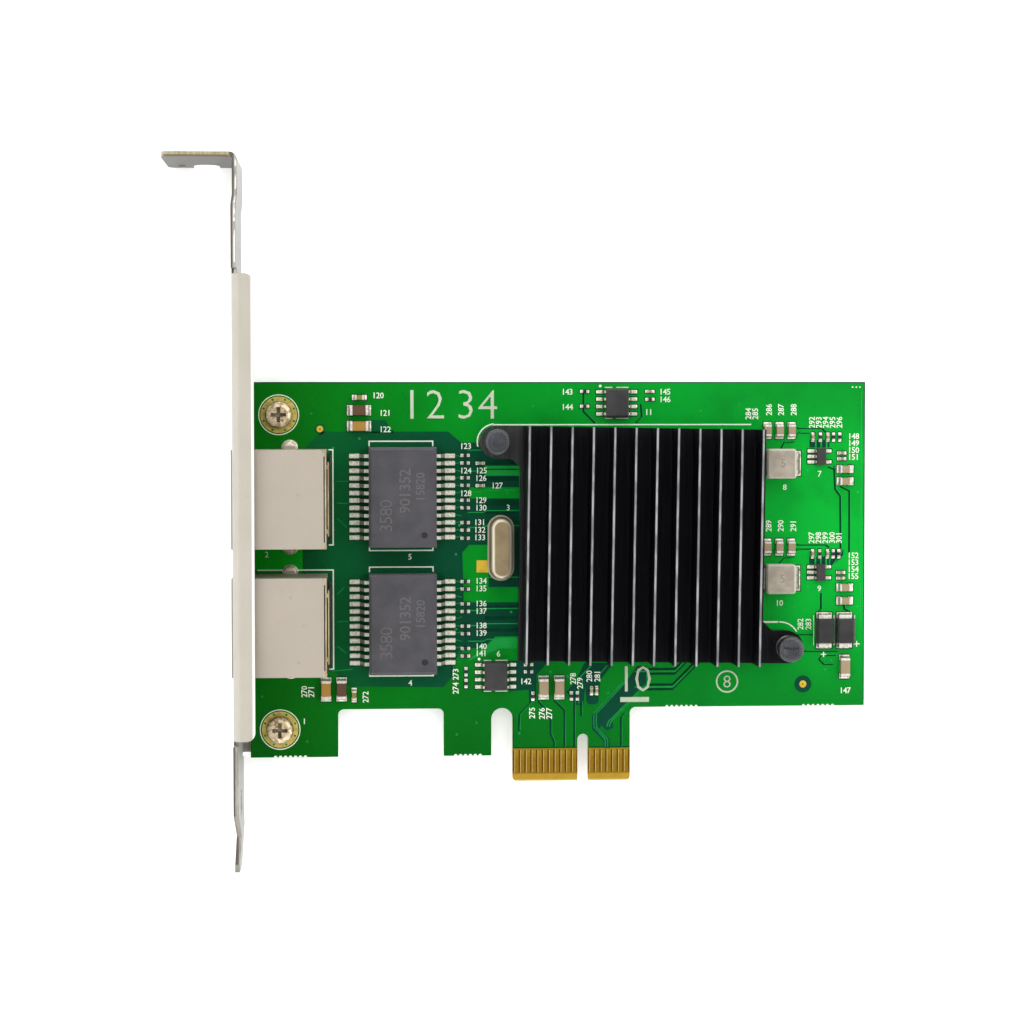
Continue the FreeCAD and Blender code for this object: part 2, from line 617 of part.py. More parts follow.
def break_off_points():
    """Positions of the scallops along the lower edges, as pairs of expressions."""
    points = []
    for edge, anchor, along, count in BREAK_OFFS:
        for step in range(count):
            shift = f"{along} + ({step} - {count - 1} / 2) * Sizes.bite_pitch"
            points.append((f"{ANCHORS[anchor]} + {shift}", f"Sizes.{edge}"))
    return points


def shared_holes():
    """The holes of the screws, push pins and crystal, as x, y and radius."""
    screw = "Sizes.screw_radius + Sizes.screw_clearance"
    holes = [(SCREW_AXIS, height, screw) for height in SCREWS.values()]
    holes += [(*pin_axis(side), "Sizes.pin_radius + Sizes.pin_clearance") for side in PINS.values()]
    for side in (-1, 1):
        holes.append(("-Sizes.crystal_left",
                      f"Sizes.crystal_height + {side} * Sizes.crystal_lead_spacing / 2",
                      "Sizes.crystal_hole_radius"))
    return holes


def jack_holes(middle):
    """The holes of a jack's pegs, lights and contact wires, as x, y and radius."""
    holes = []
    peg_side = "(Sizes.jack_width / 2 + Sizes.peg_out - Sizes.shield_wall / 2)"
    for side in (-1, 1):
        holes.append((f"{JACK_FRONT} + Sizes.peg_back", f"{middle} + {side} * {peg_side}",
                      "Sizes.peg_hole_radius"))
        for leg in (0, 1):
            holes.append((f"{JACK_FRONT} + {TAILS} + {leg} * Sizes.tail_step",
                          f"{middle} + {side} * {LAMP_LEG_SIDE}", "Sizes.tail_hole_radius"))
    for wire in range(int(size("wire_count"))):
        holes.append((f"{JACK_FRONT} + {TAILS} + {wire % 2} * Sizes.tail_step",
                      f"{middle} + ({wire} - (Sizes.wire_count - 1) / 2) * Sizes.wire_pitch",
                      "Sizes.tail_hole_radius"))
    return holes


def make_board():
    """The board: outline, slots between its feet, drilled holes and bevelled connector."""
    body = new_body("circuit_board")
    left, right = ANCHORS["port"], ANCHORS["supply"]
    foot_side = f"{left} + Sizes.left_foot_width"
    sketch = new_sketch(body, "XY_Plane", BOTTOM)
    draw_polygon(sketch, [
        ("-Sizes.tongue_left", "0"), ("Sizes.tongue_right", "0"),
        ("Sizes.tongue_right", "Sizes.shoulder_height"), (right, "Sizes.shoulder_height"),
        (right, "Sizes.board_height"), (left, "Sizes.board_height"),
        (left, "Sizes.foot_height"), (foot_side, "Sizes.foot_height"),
        (foot_side, "Sizes.shoulder_height"), ("-Sizes.mid_foot_left", "Sizes.shoulder_height"),
        ("-Sizes.mid_foot_left", "Sizes.foot_height"), ("-Sizes.tongue_left", "Sizes.foot_height")])
    pad(body, sketch, "Sizes.board_thick")
    inner = edge_names(body, x=size("tongue_right"), y=size("shoulder_height"))
    inner += edge_names(body, x=value(foot_side), y=size("shoulder_height"))
    inner += edge_names(body, x=-size("mid_foot_left"), y=size("shoulder_height"))
    fillet(body, "Sizes.inner_corner", inner)

    slot_radius = "(Sizes.mid_foot_right - Sizes.tongue_left) / 2"
    slot_middle = "-(Sizes.mid_foot_right + Sizes.tongue_left) / 2"
    slot_centre = f"Sizes.shoulder_height - {slot_radius}"
    key_centre = "Sizes.key_depth - Sizes.key_width / 2"
    sketch = new_sketch(body, "XY_Plane")
    draw_rectangle(sketch, "-Sizes.mid_foot_right", "-Sizes.tongue_left", f"-{PAST}", slot_centre)
    draw_rectangle(sketch, "-Sizes.key_width / 2", "Sizes.key_width / 2", f"-{PAST}", key_centre)
    pocket(body, sketch)
    sketch = new_sketch(body, "XY_Plane")
    draw_circle(sketch, slot_middle, slot_centre, slot_radius)
    draw_circle(sketch, "0", key_centre, "Sizes.key_width / 2")
    pocket(body, sketch)

    for face in (TOP, BOTTOM):
        slope = new_sketch(body, "YZ_Plane")
        depth = f"{face} - Sizes.bevel_depth" if face is TOP else f"{face} + Sizes.bevel_depth"
        draw_polygon(slope, [("0", depth), ("Sizes.bevel_rise", face),
                             (f"-{PAST}", face), (f"-{PAST}", depth)])
        pocket(body, slope)
    corners = []
    for side in (-size("tongue_left"), size("tongue_right")):
        corners += edge_names(body, x=side, y=0.0)
    fillet(body, "Sizes.tongue_corner", corners)

    for holes in [shared_holes()] + [jack_holes(middle) for middle in JACKS.values()]:
        sketch = new_sketch(body, "XY_Plane")
        for x, y, radius in holes:
            draw_circle(sketch, x, y, radius)
        pocket(body, sketch)
    sketch = new_sketch(body, "XY_Plane")
    for x, y in break_off_points():
        draw_circle(sketch, x, y, "Sizes.bite_radius")
    pocket(body, sketch)
    return body


def make_edge_contacts(label, face, outward):
    """The plated contacts on one face of the connector, in a group on each side of the notch."""
    body = new_body(label)
    reach = f"{face} + {outward} * Sizes.finger_thick"
    sketch = new_sketch(body, "XY_Plane", face if outward > 0 else reach)
    for side, edge in ((-1, "tongue_left"), (1, "tongue_right")):
        room = size(edge) - size("finger_first") - size("finger_width") / 2
        for step in range(int(room / size("finger_pitch")) + 1):
            middle = f"{side} * (Sizes.finger_first + {step} * Sizes.finger_pitch)"
            draw_rectangle(sketch, f"{middle} - Sizes.finger_width / 2",
                           f"{middle} + Sizes.finger_width / 2", "Sizes.finger_start",
                           "Sizes.finger_start + Sizes.finger_length")
    pad(body, sketch, "Sizes.finger_thick")
    return body


def make_bracket():
    """The bracket, one folded sheet: plate, screw tab, toe, stiffening flange and two screw ears."""
    body = new_body("bracket")
    step_in = f"{TAB_TOP} - Sizes.joggle_below"
    step_out = f"{step_in} - Sizes.joggle_run"
    toe_end = "-Sizes.toe_start - Sizes.toe_run"
    sketch = new_sketch(body, "XY_Plane", "-Sizes.solder_drop")
    draw_polygon(sketch, [
        (f"{PLATE_OUT} - Sizes.tab_length", TAB_TOP),
        (f"{PLATE_OUT} - Sizes.tab_length", f"{TAB_TOP} - Sizes.sheet_thick"),
        (f"{PLATE_OUT} + Sizes.joggle", f"{TAB_TOP} - Sizes.sheet_thick"),
        (f"{PLATE_OUT} + Sizes.joggle", step_in), (PLATE_OUT, step_out),
        (PLATE_OUT, "-Sizes.toe_start"), (f"{PLATE_OUT} + Sizes.toe_shift", toe_end),
        (f"{PLATE_OUT} - Sizes.toe_back", "-Sizes.tip_drop"),
        (f"{PLATE_IN} - Sizes.toe_back", "-Sizes.tip_drop"),
        (f"{PLATE_IN} + Sizes.toe_shift", toe_end), (PLATE_IN, "-Sizes.toe_start"),
        (PLATE_IN, step_out), (f"{PLATE_IN} + Sizes.joggle", step_in),
        (f"{PLATE_IN} + Sizes.joggle", TAB_TOP)])
    pad(body, sketch, "Sizes.bracket_width")
    fillet(body, "Sizes.bend_radius + Sizes.sheet_thick",
           edge_names(body, x=value(f"{PLATE_IN} + Sizes.joggle"), y=value(TAB_TOP)))
    fillet(body, "Sizes.bend_radius",
           edge_names(body, x=value(f"{PLATE_OUT} + Sizes.joggle"),
                      y=value(f"{TAB_TOP} - Sizes.sheet_thick")))

    tab_end = value(f"{PLATE_OUT} - Sizes.tab_length")
    fillet(body, "Sizes.tab_corner", edge_names(body, x=tab_end, z=value(PLATE_FRONT))
           + edge_names(body, x=tab_end, z=-size("solder_drop")))

    taper = "(Sizes.bracket_width - Sizes.toe_width) / 2"
    sketch = new_sketch(body, "YZ_Plane")
    for edge, inward in (("-Sizes.solder_drop", 1), (PLATE_FRONT, -1)):
        outside = f"{edge} - {inward}"
        side = f"{edge} + {inward} * {taper}"
        draw_polygon(sketch, [
            ("-Sizes.taper_start", outside), ("-Sizes.taper_start", edge),
            (f"-Sizes.taper_start - {taper}", side),
            ("-Sizes.tip_drop + Sizes.toe_corner", side),
            ("-Sizes.tip_drop", f"{side} + {inward} * Sizes.toe_corner"),
            (f"-Sizes.tip_drop - {PAST}", f"{side} + {inward} * Sizes.toe_corner"),
            (f"-Sizes.tip_drop - {PAST}", outside)])
    pocket(body, sketch)

    sketch = new_sketch(body, "YZ_Plane")
    for middle in JACKS.values():
        half = "(Sizes.jack_width / 2 + Sizes.window_clearance)"
        draw_rectangle(sketch, f"{middle} - {half}", f"{middle} + {half}",
                       f"{TOP} - Sizes.window_clearance", WINDOW_HIGH)
    draw_circle(sketch, "-Sizes.toe_hole_drop", "Sizes.bracket_width / 2 - Sizes.solder_drop",
                "Sizes.toe_hole_radius")
    pocket(body, sketch)

    notch = f"{PLATE_OUT} - Sizes.tab_notch_out"
    notch_end = "-Sizes.solder_drop + Sizes.tab_notch_depth - Sizes.tab_notch_width / 2"
    sketch = new_sketch(body, "XZ_Plane")
    draw_rectangle(sketch, f"{notch} - Sizes.tab_notch_width / 2", f"{notch} + Sizes.tab_notch_width / 2",
                   f"-Sizes.solder_drop - {PAST}", notch_end)
    draw_circle(sketch, f"{PLATE_OUT} - Sizes.tab_hole_out", "Sizes.tab_hole_rise - Sizes.solder_drop",
                "Sizes.tab_hole_radius")
    pocket(body, sketch)
    sketch = new_sketch(body, "XZ_Plane")
    draw_circle(sketch, notch, notch_end, "Sizes.tab_notch_width / 2")
    pocket(body, sketch)

    cut_fold_reliefs(body)
    add_flange(body)
    add_ears(body)
    return body


def cut_fold_reliefs(body):
    """Notches in the plate that let the flange and the ears fold without tearing it."""
    fold_in = f"{PLATE_FRONT} - Sizes.sheet_thick - Sizes.relief_depth"
    sketch = new_sketch(body, "YZ_Plane")
    draw_rectangle(sketch, "Sizes.flange_low - Sizes.relief_width", "Sizes.flange_low",
                   fold_in, f"{PLATE_FRONT} + {PAST}")
    draw_rectangle(sketch, FLANGE_HIGH, f"{FLANGE_HIGH} + Sizes.relief_width",
                   fold_in, f"{PLATE_FRONT} + {PAST}")
    deep = f"{BOTTOM} + Sizes.relief_depth"
    outside = f"-Sizes.solder_drop - {PAST}"
    half = "Sizes.ear_width / 2"
    for height in SCREWS.values():
        low, high = f"{height} - {half}", f"{height} + {half}"
        draw_polygon(sketch, [
            (f"{low} - Sizes.relief_width", outside), (f"{low} - Sizes.relief_width", deep),
            (low, deep), (low, EAR_UNDER), (high, EAR_UNDER), (high, deep),
            (f"{high} + Sizes.relief_width", deep), (f"{high} + Sizes.relief_width", outside)])
    pocket(body, sketch)


def add_flange(body):
    """The stiffening flange, folded in from the component-side edge of the plate."""
    free_edge = f"{PLATE_OUT} + Sizes.flange_reach"
    sketch = new_sketch(body, "XY_Plane", f"{PLATE_FRONT} - Sizes.sheet_thick")
    draw_rectangle(sketch, PLATE_OUT, free_edge, "Sizes.flange_low", FLANGE_HIGH)
    pad(body, sketch, "Sizes.sheet_thick")
    span = (size("flange_low"), value(FLANGE_HIGH))
    corners = edge_names(body, x=value(free_edge), y=span[0])
    corners += edge_names(body, x=value(free_edge), y=span[1])
    fillet(body, "Sizes.flange_corner", corners)
    fillet(body, FLANGE_FOLD, edge_names(body, x=value(PLATE_OUT), y=span, z=value(PLATE_FRONT)))
    fillet(body, f"{FLANGE_FOLD} - Sizes.sheet_thick",
           edge_names(body, x=value(PLATE_IN), y=span, z=value(f"{PLATE_FRONT} - Sizes.sheet_thick")))


def add_ears(body):
    """The two ears behind the board, with a collared and tapped hole for each screw."""
    end = f"{SCREW_AXIS} + Sizes.ear_beyond"
    half = "Sizes.ear_width / 2"
    sketch = new_sketch(body, "XY_Plane", EAR_UNDER)
    for height in SCREWS.values():
        draw_rectangle(sketch, PLATE_OUT, end, f"{height} - {half}", f"{height} + {half}")
    pad(body, sketch, "Sizes.sheet_thick")
    spans = [(value(f"{height} - {half}"), value(f"{height} + {half}")) for height in SCREWS.values()]
    corners = []
    for low, high in spans:
        corners += edge_names(body, x=value(end), y=low) + edge_names(body, x=value(end), y=high)
    fillet(body, "Sizes.ear_corner", corners)
    for radius, side, face in (("Sizes.bend_radius", PLATE_IN, BOTTOM),
                               ("Sizes.bend_radius + Sizes.sheet_thick", PLATE_OUT, EAR_UNDER)):
        folds = []
        for span in spans:
            folds += edge_names(body, x=value(side), y=span, z=value(face))
        fillet(body, radius, folds)
    sketch = new_sketch(body, "XY_Plane", f"{EAR_UNDER} - Sizes.collar_drop")
    for height in SCREWS.values():
        draw_circle(sketch, SCREW_AXIS, height,
                    "Sizes.screw_radius + Sizes.thread_clearance + Sizes.collar_wall")
    pad(body, sketch, "Sizes.collar_drop")
    sketch = new_sketch(body, "XY_Plane")
    for height in SCREWS.values():
        draw_circle(sketch, SCREW_AXIS, height, "Sizes.screw_radius + Sizes.thread_clearance")
    pocket(body, sketch)


def make_bracket_screw(name, height):
    """A pan-head screw with a cross recess, seated on the board and tapped into its ear."""
    body = new_body(f"bracket_screw_{name}")
    place(body, SCREW_AXIS, height, TOP)
    sketch = new_sketch(body, "XY_Plane")
    draw_circle(sketch, "0", "0", "Sizes.screw_head")
    pad(body, sketch, "Sizes.screw_head_rise")
    fillet(body, "Sizes.screw_head_rise * Sizes.screw_head_round",
           edge_names(body, z=value(f"{TOP} + Sizes.screw_head_rise")))
    sketch = new_sketch(body, "XY_Plane")
    draw_circle(sketch, "0", "0", "Sizes.screw_radius")
    pad(body, sketch, "Sizes.screw_length", reverse=True)
    for wide, tall in (("recess_span", "recess_width"), ("recess_width", "recess_span")):
        sketch = new_sketch(body, "XY_Plane", "Sizes.screw_head_rise - Sizes.recess_depth")
        draw_centred(sketch, f"Sizes.{wide}", f"Sizes.{tall}")
        pocket(body, sketch, f"Sizes.recess_depth + {PAST}", reverse=True)
    return body


def make_jack_shield(name, middle):
    """The folded steel shield of a jack: open below, with windows in front and two board pegs."""
    front, back = JACK_FRONT, f"{JACK_FRONT} + Sizes.jack_depth"
    half = "Sizes.jack_width / 2"
    roof = f"{TOP} + Sizes.jack_rise"
    shell = block((front, back), (f"{middle} - {half}", f"{middle} + {half}"), (TOP, roof))
    inside = block((f"{front} + Sizes.shield_wall", f"{back} - Sizes.shield_wall"),
                   (f"{middle} - {half} + Sizes.shield_wall", f"{middle} + {half} - Sizes.shield_wall"),
                   (f"{TOP} - {PAST}", f"{roof} - Sizes.shield_wall"))
    through = (f"{front} - {PAST}", f"{front} + 2 * Sizes.shield_wall")
    plug_half = "(Sizes.plug_width / 2 + Sizes.window_margin)"
    latch_half = "(Sizes.latch_width / 2 + Sizes.window_margin)"
    ceiling = f"{TOP} + Sizes.plug_floor + Sizes.plug_height"
    windows = [
        block(through, (f"{middle} - {plug_half}", f"{middle} + {plug_half}"),
              (f"{TOP} + Sizes.plug_floor - Sizes.window_margin", f"{ceiling} + Sizes.window_margin")),
        block(through, (f"{middle} - {latch_half}", f"{middle} + {latch_half}"),
              (ceiling, f"{roof} - Sizes.latch_roof + Sizes.window_margin"))]
    for side in (-1, 1):
        lamp = f"{middle} + {side} * {LAMP_SIDE}"
        lamp_half = "(Sizes.lamp_width / 2 - Sizes.window_margin)"
        windows.append(block(through, (f"{lamp} - {lamp_half}", f"{lamp} + {lamp_half}"),
                             (f"{TOP} + {LAMP_RISE} + Sizes.window_margin",
                              f"{TOP} + {LAMP_RISE} + Sizes.lamp_height - Sizes.window_margin")))
    can = cut(f"shield_can_{name}", shell, [inside] + windows)
    peg = f"{front} + Sizes.peg_back"
    pieces = [can]
    step_low = f"{TOP} + Sizes.peg_foot"
    step_high = f"{step_low} + Sizes.shield_wall"
    for side in (-1, 1):
        wall = f"{middle} + {side} * ({half} + Sizes.peg_out / 2 - Sizes.shield_wall / 2)"
        leg = f"{middle} + {side} * ({half} + Sizes.peg_out - Sizes.shield_wall / 2)"
        span = "(Sizes.peg_out + Sizes.shield_wall) / 2"
        along = (f"{peg} - Sizes.peg_width / 2", f"{peg} + Sizes.peg_width / 2")
        pieces.append(block(along, (f"{wall} - {span}", f"{wall} + {span}"), (step_low, step_high)))
        pieces.append(block(along, (f"{leg} - Sizes.shield_wall / 2", f"{leg} + Sizes.shield_wall / 2"),
                            (f"{BOTTOM} - Sizes.pin_below", step_high)))
    return fuse(f"jack_{name}_shield", pieces)


def make_jack_housing(name, middle):
    """The moulded insulator of a jack: plug cavity, latch channel, light guides and wire channel."""
    gap = "(Sizes.shield_wall + Sizes.shield_clearance)"
    front, back = f"{JACK_FRONT} + {gap}", f"{JACK_FRONT} + Sizes.jack_depth - {gap}"
    half = f"(Sizes.jack_width / 2 - {gap})"
    core = block((front, back), (f"{middle} - {half}", f"{middle} + {half}"),
                 (TOP, f"{TOP} + Sizes.jack_rise - {gap}"))
    ceiling = f"{TOP} + Sizes.plug_floor + Sizes.plug_height"
    floor = f"{TOP} + Sizes.wire_floor"
    wires_start = f"{JACK_FRONT} + Sizes.wire_front - Sizes.wire_end_room"
    channel = (f"{middle} - {WIRE_CHANNEL} / 2", f"{middle} + {WIRE_CHANNEL} / 2")
    tools = [
        block((f"{JACK_FRONT} - {PAST}", f"{JACK_FRONT} + Sizes.plug_depth"),
              (f"{middle} - Sizes.plug_width / 2", f"{middle} + Sizes.plug_width / 2"),
              (f"{TOP} + Sizes.plug_floor", ceiling)),
        block((f"{JACK_FRONT} - {PAST}", f"{JACK_FRONT} + Sizes.latch_depth"),
              (f"{middle} - Sizes.latch_width / 2", f"{middle} + Sizes.latch_width / 2"),
              (f"{ceiling} - {PAST}", f"{TOP} + Sizes.jack_rise - Sizes.latch_roof")),
        block((wires_start, f"{JACK_FRONT} + Sizes.wire_tip + Sizes.wire_end_room"),
              channel, (floor, f"{TOP} + Sizes.plug_floor + {PAST}")),
        block((wires_start, f"{back} + {PAST}"), channel,
              (floor, f"{TOP} + Sizes.wire_rise + Sizes.wire_thick + Sizes.wire_over_room")),
        block((f"{JACK_FRONT} + {TAILS} - Sizes.tail_step / 2", f"{back} + {PAST}"), channel,
              (f"{TOP} - {PAST}", f"{TOP} + Sizes.wire_rise"))]
    for side in (-1, 1):
        lamp = f"{middle} + {side} * {LAMP_SIDE}"
        lamp_half = "(Sizes.lamp_width / 2 + Sizes.lamp_clearance)"
        bore_end = f"{JACK_FRONT} + Sizes.lamp_depth + Sizes.lamp_past_end"
        tools.append(block((f"{JACK_FRONT} - {PAST}", bore_end),
                           (f"{lamp} - {lamp_half}", f"{lamp} + {lamp_half}"),
                           (f"{TOP} + {LAMP_RISE} - Sizes.lamp_clearance",
                            f"{TOP} + {LAMP_RISE} + Sizes.lamp_height + Sizes.lamp_clearance")))
        leg = f"{middle} + {side} * {LAMP_LEG_SIDE}"
        leg_half = "(Sizes.lamp_leg / 2 + Sizes.lamp_clearance)"
        tools.append(block((f"{JACK_FRONT} + {TAILS} - {leg_half}", f"{back} + {PAST}"),
                           (f"{leg} - {leg_half}", f"{leg} + {leg_half}"),
                           (f"{TOP} - {PAST}", f"{TOP} + {LAMP_RISE} + {PAST}")))
    return cut(f"jack_{name}_housing", core, tools)


def make_jack_contacts(name, middle):
    """Eight spring wires: a run under the floor, a bend in front and a slope into the plug cavity."""
    body = new_body(f"jack_{name}_contacts")
    place(body, JACK_FRONT, middle, TOP)
    thick, half = "Sizes.wire_thick", "Sizes.wire_thick / 2"
    low, high = "Sizes.wire_rise", f"Sizes.wire_rise + {thick}"
    tip_low = f"Sizes.wire_lift - {thick}"
    for part in (0, 1):
        tail = f"{TAILS} + {part} * Sizes.tail_step"
        start = f"({part} - (Sizes.wire_count - 1) / 2) * Sizes.wire_pitch"
        sketch = new_sketch(body, "XZ_Plane", f"-({start})")
        draw_polygon(sketch, [
            (f"{tail} + {half}", "-Sizes.board_thick - Sizes.pin_below"), (f"{tail} + {half}", high),
            (f"Sizes.wire_front + {thick}", high), ("Sizes.wire_tip", tip_low),
            ("Sizes.wire_tip", "Sizes.wire_lift"), ("Sizes.wire_front", high),
            ("Sizes.wire_front", low), (f"{tail} - {half}", low),
            (f"{tail} - {half}", "-Sizes.board_thick - Sizes.pin_below")])
        wire = pad(body, sketch, "Sizes.wire_width", symmetric=True)
        row(body, wire, "Y_Axis", "2 * Sizes.wire_pitch", "Sizes.wire_count / 2")
    return body


def make_jack_lamp(name, middle, side, label):
    """A light of a jack: the lamp and its guide to the front, with two legs down to the board."""
    lamp = f"{middle} + {side} * {LAMP_SIDE}"
    front = f"{JACK_FRONT} + Sizes.shield_wall + Sizes.shield_clearance"
    under = f"{TOP} + {LAMP_RISE}"
    back = f"{JACK_FRONT} + Sizes.lamp_depth + Sizes.tail_step / 2 - Sizes.lamp_clearance"
    pieces = [block((front, back),
                    (f"{lamp} - Sizes.lamp_width / 2", f"{lamp} + Sizes.lamp_width / 2"),
                    (under, f"{under} + Sizes.lamp_height"))]
    for step in (0, 1):
        leg_x = f"{JACK_FRONT} + {TAILS} + {step} * Sizes.tail_step"
        leg_y = f"{middle} + {side} * {LAMP_LEG_SIDE}"
        pieces.append(block((f"{leg_x} - Sizes.lamp_leg / 2", f"{leg_x} + Sizes.lamp_leg / 2"),
                            (f"{leg_y} - Sizes.lamp_leg / 2", f"{leg_y} + Sizes.lamp_leg / 2"),
                            (f"{BOTTOM} - Sizes.pin_below", f"{under} + Sizes.lamp_height / 2")))
    return fuse(f"jack_{name}_{label}_light", pieces)


def make_chip_body(label, x, y, kind, dimple=False):
    """A moulded package on its standoff, with bevelled upper edges and an optional dimple."""
    width, length = f"Sizes.{kind}_width", f"Sizes.{kind}_length"
    body = new_body(label)
    place(body, x, y, f"{TOP} + Sizes.{kind}_standoff")
    sketch = new_sketch(body, "XY_Plane")
    draw_centred(sketch, width, length)
    depth = f"Sizes.{kind}_rise - Sizes.{kind}_standoff"
    pad(body, sketch, depth)
    chamfer(body, f"Sizes.{kind}_edge", edge_names(body, z=value(f"{TOP} + Sizes.{kind}_rise")))
    if dimple:
        sketch = new_sketch(body, "XY_Plane", f"{depth} - Sizes.dimple_depth")
        draw_circle(sketch, f"{width} / 2 - Sizes.dimple_inset",
                    f"-({length} / 2 - Sizes.dimple_inset)", "Sizes.dimple_radius")
        pocket(body, sketch, f"Sizes.dimple_depth + {PAST}", reverse=True)
    return body


def make_gull_leads(label, x, y, kind, sides):
    """Gull-wing leads: for each side of the package, its sign, spacing and number of leads."""
    body = new_body(label)
    place(body, x, y, TOP)
    thick = f"Sizes.{kind}_lead_thick"
    exit_top = f"Sizes.{kind}_lead_exit"
    for side, spacing, count in sides:
        inner = f"Sizes.{kind}_width / 2"
        outer = f"{inner} + Sizes.{kind}_reach"
        knee = f"{inner} + Sizes.{kind}_lead_shoulder"
        heel = f"{outer} - Sizes.{kind}_lead_foot"
        sketch = new_sketch(body, "XZ_Plane", f"{spacing} * ({count} - 1) / 2")
        points = [(inner, exit_top), (knee, exit_top), (heel, thick), (outer, thick), (outer, "0"),
                  (f"{heel} - 0.6 * {thick}", "0"), (f"{knee} - 0.6 * {thick}", f"{exit_top} - {thick}"),
                  (inner, f"{exit_top} - {thick}")]
        draw_polygon(sketch, [(f"{side} * ({across})", up) for across, up in points])
        lead = pad(body, sketch, f"Sizes.{kind}_lead_width", symmetric=True)
        row(body, lead, "Y_Axis", spacing, count)
    return body


def make_package(name, x, y, kind, sides, dimple=False):
    make_chip_body(f"{name}_body", x, y, kind, dimple)
    make_gull_leads(f"{name}_leads", x, y, kind, sides)


def make_inductor(name, x, y):
    """A moulded power inductor with a terminal folded round each of two sides."""
    body = new_body(f"{name}_core")
    place(body, x, y, f"{TOP} + Sizes.coil_standoff")
    sketch = new_sketch(body, "XY_Plane")
    draw_centred(sketch, "Sizes.coil_width", "Sizes.coil_width")
    pad(body, sketch, "Sizes.coil_rise - Sizes.coil_standoff")
    half = size("coil_width") / 2
    corners = []
    for side_x in (-half, half):
        for side_y in (-half, half):
            corners += edge_names(body, x=value(x) + side_x, y=value(y) + side_y)
    fillet(body, "Sizes.coil_corner", corners)
    chamfer(body, "Sizes.coil_edge", edge_names(body, z=value(f"{TOP} + Sizes.coil_rise")))

    terminals = new_body(f"{name}_terminals")
    place(terminals, x, y, TOP)
    thick, side_face = "Sizes.coil_standoff", "Sizes.coil_width / 2"
    for side in (-1, 1):
        sketch = new_sketch(terminals, "XZ_Plane")
        points = [(f"{side_face} - Sizes.coil_pad_under", "0"),
                  (f"{side_face} + Sizes.coil_pad_reach", "0"),
                  (f"{side_face} + Sizes.coil_pad_reach", thick), (f"{side_face} + {thick}", thick),
                  (f"{side_face} + {thick}", "Sizes.coil_pad_rise"), (side_face, "Sizes.coil_pad_rise"),
                  (side_face, thick), (f"{side_face} - Sizes.coil_pad_under", thick)]
        draw_polygon(sketch, [(f"{side} * ({across})", up) for across, up in points])
        pad(terminals, sketch, "Sizes.coil_pad_width", symmetric=True)


def make_diode(name, x, y):
    """A moulded diode standing across the board, with a terminal folded under each end."""
    make_chip_body(f"{name}_body", x, y, "diode")
    terminals = new_body(f"{name}_terminals")
    place(terminals, x, y, TOP)
    thick, top = "Sizes.diode_pad_thick", "Sizes.diode_pad_rise"
    inner, outer = "Sizes.diode_length / 2", "Sizes.diode_length / 2 + Sizes.diode_reach"
    for side in (-1, 1):
        sketch = new_sketch(terminals, "YZ_Plane")
        points = [(inner, top), (outer, top), (outer, "0"), (f"{outer} - Sizes.diode_pad_under", "0"),
                  (f"{outer} - Sizes.diode_pad_under", thick), (f"{outer} - {thick}", thick),
                  (f"{outer} - {thick}", f"{top} - {thick}"), (inner, f"{top} - {thick}")]
        draw_polygon(sketch, [(f"{side} * ({across})", up) for across, up in points])
        pad(terminals, sketch, "Sizes.diode_pad_width", symmetric=True)


def resistor_pairs():
    """The columns of resistor pairs beside the transformers."""
    places = []
    for anchor, across, lowest, count in PAIR_COLUMNS:
        for step in range(count):
            for chip in (0, 1):
                places.append((anchor, across, lowest + step * PAIR_PITCH + chip * PAIR_GAP, "along"))
    return places + [EXTRA_RESISTOR]


def make_chips(label, places, kind, rise):
    """Chip capacitors or resistors of one case size, soldered down where the layout puts them."""
    solids = []
    for anchor, across, height, way in places:
        long_side, short_side = f"Sizes.{kind}_length", f"Sizes.{kind}_width"
        x_side, y_side = (long_side, short_side) if way == "along" else (short_side, long_side)
        x = f"{ANCHORS[anchor]} + {across}"
        solids.append(block((f"{x} - {x_side} / 2", f"{x} + {x_side} / 2"),
                            (f"{height} - {y_side} / 2", f"{height} + {y_side} / 2"),
                            (TOP, f"{TOP} + Sizes.{rise}")))
    return group(label, solids)


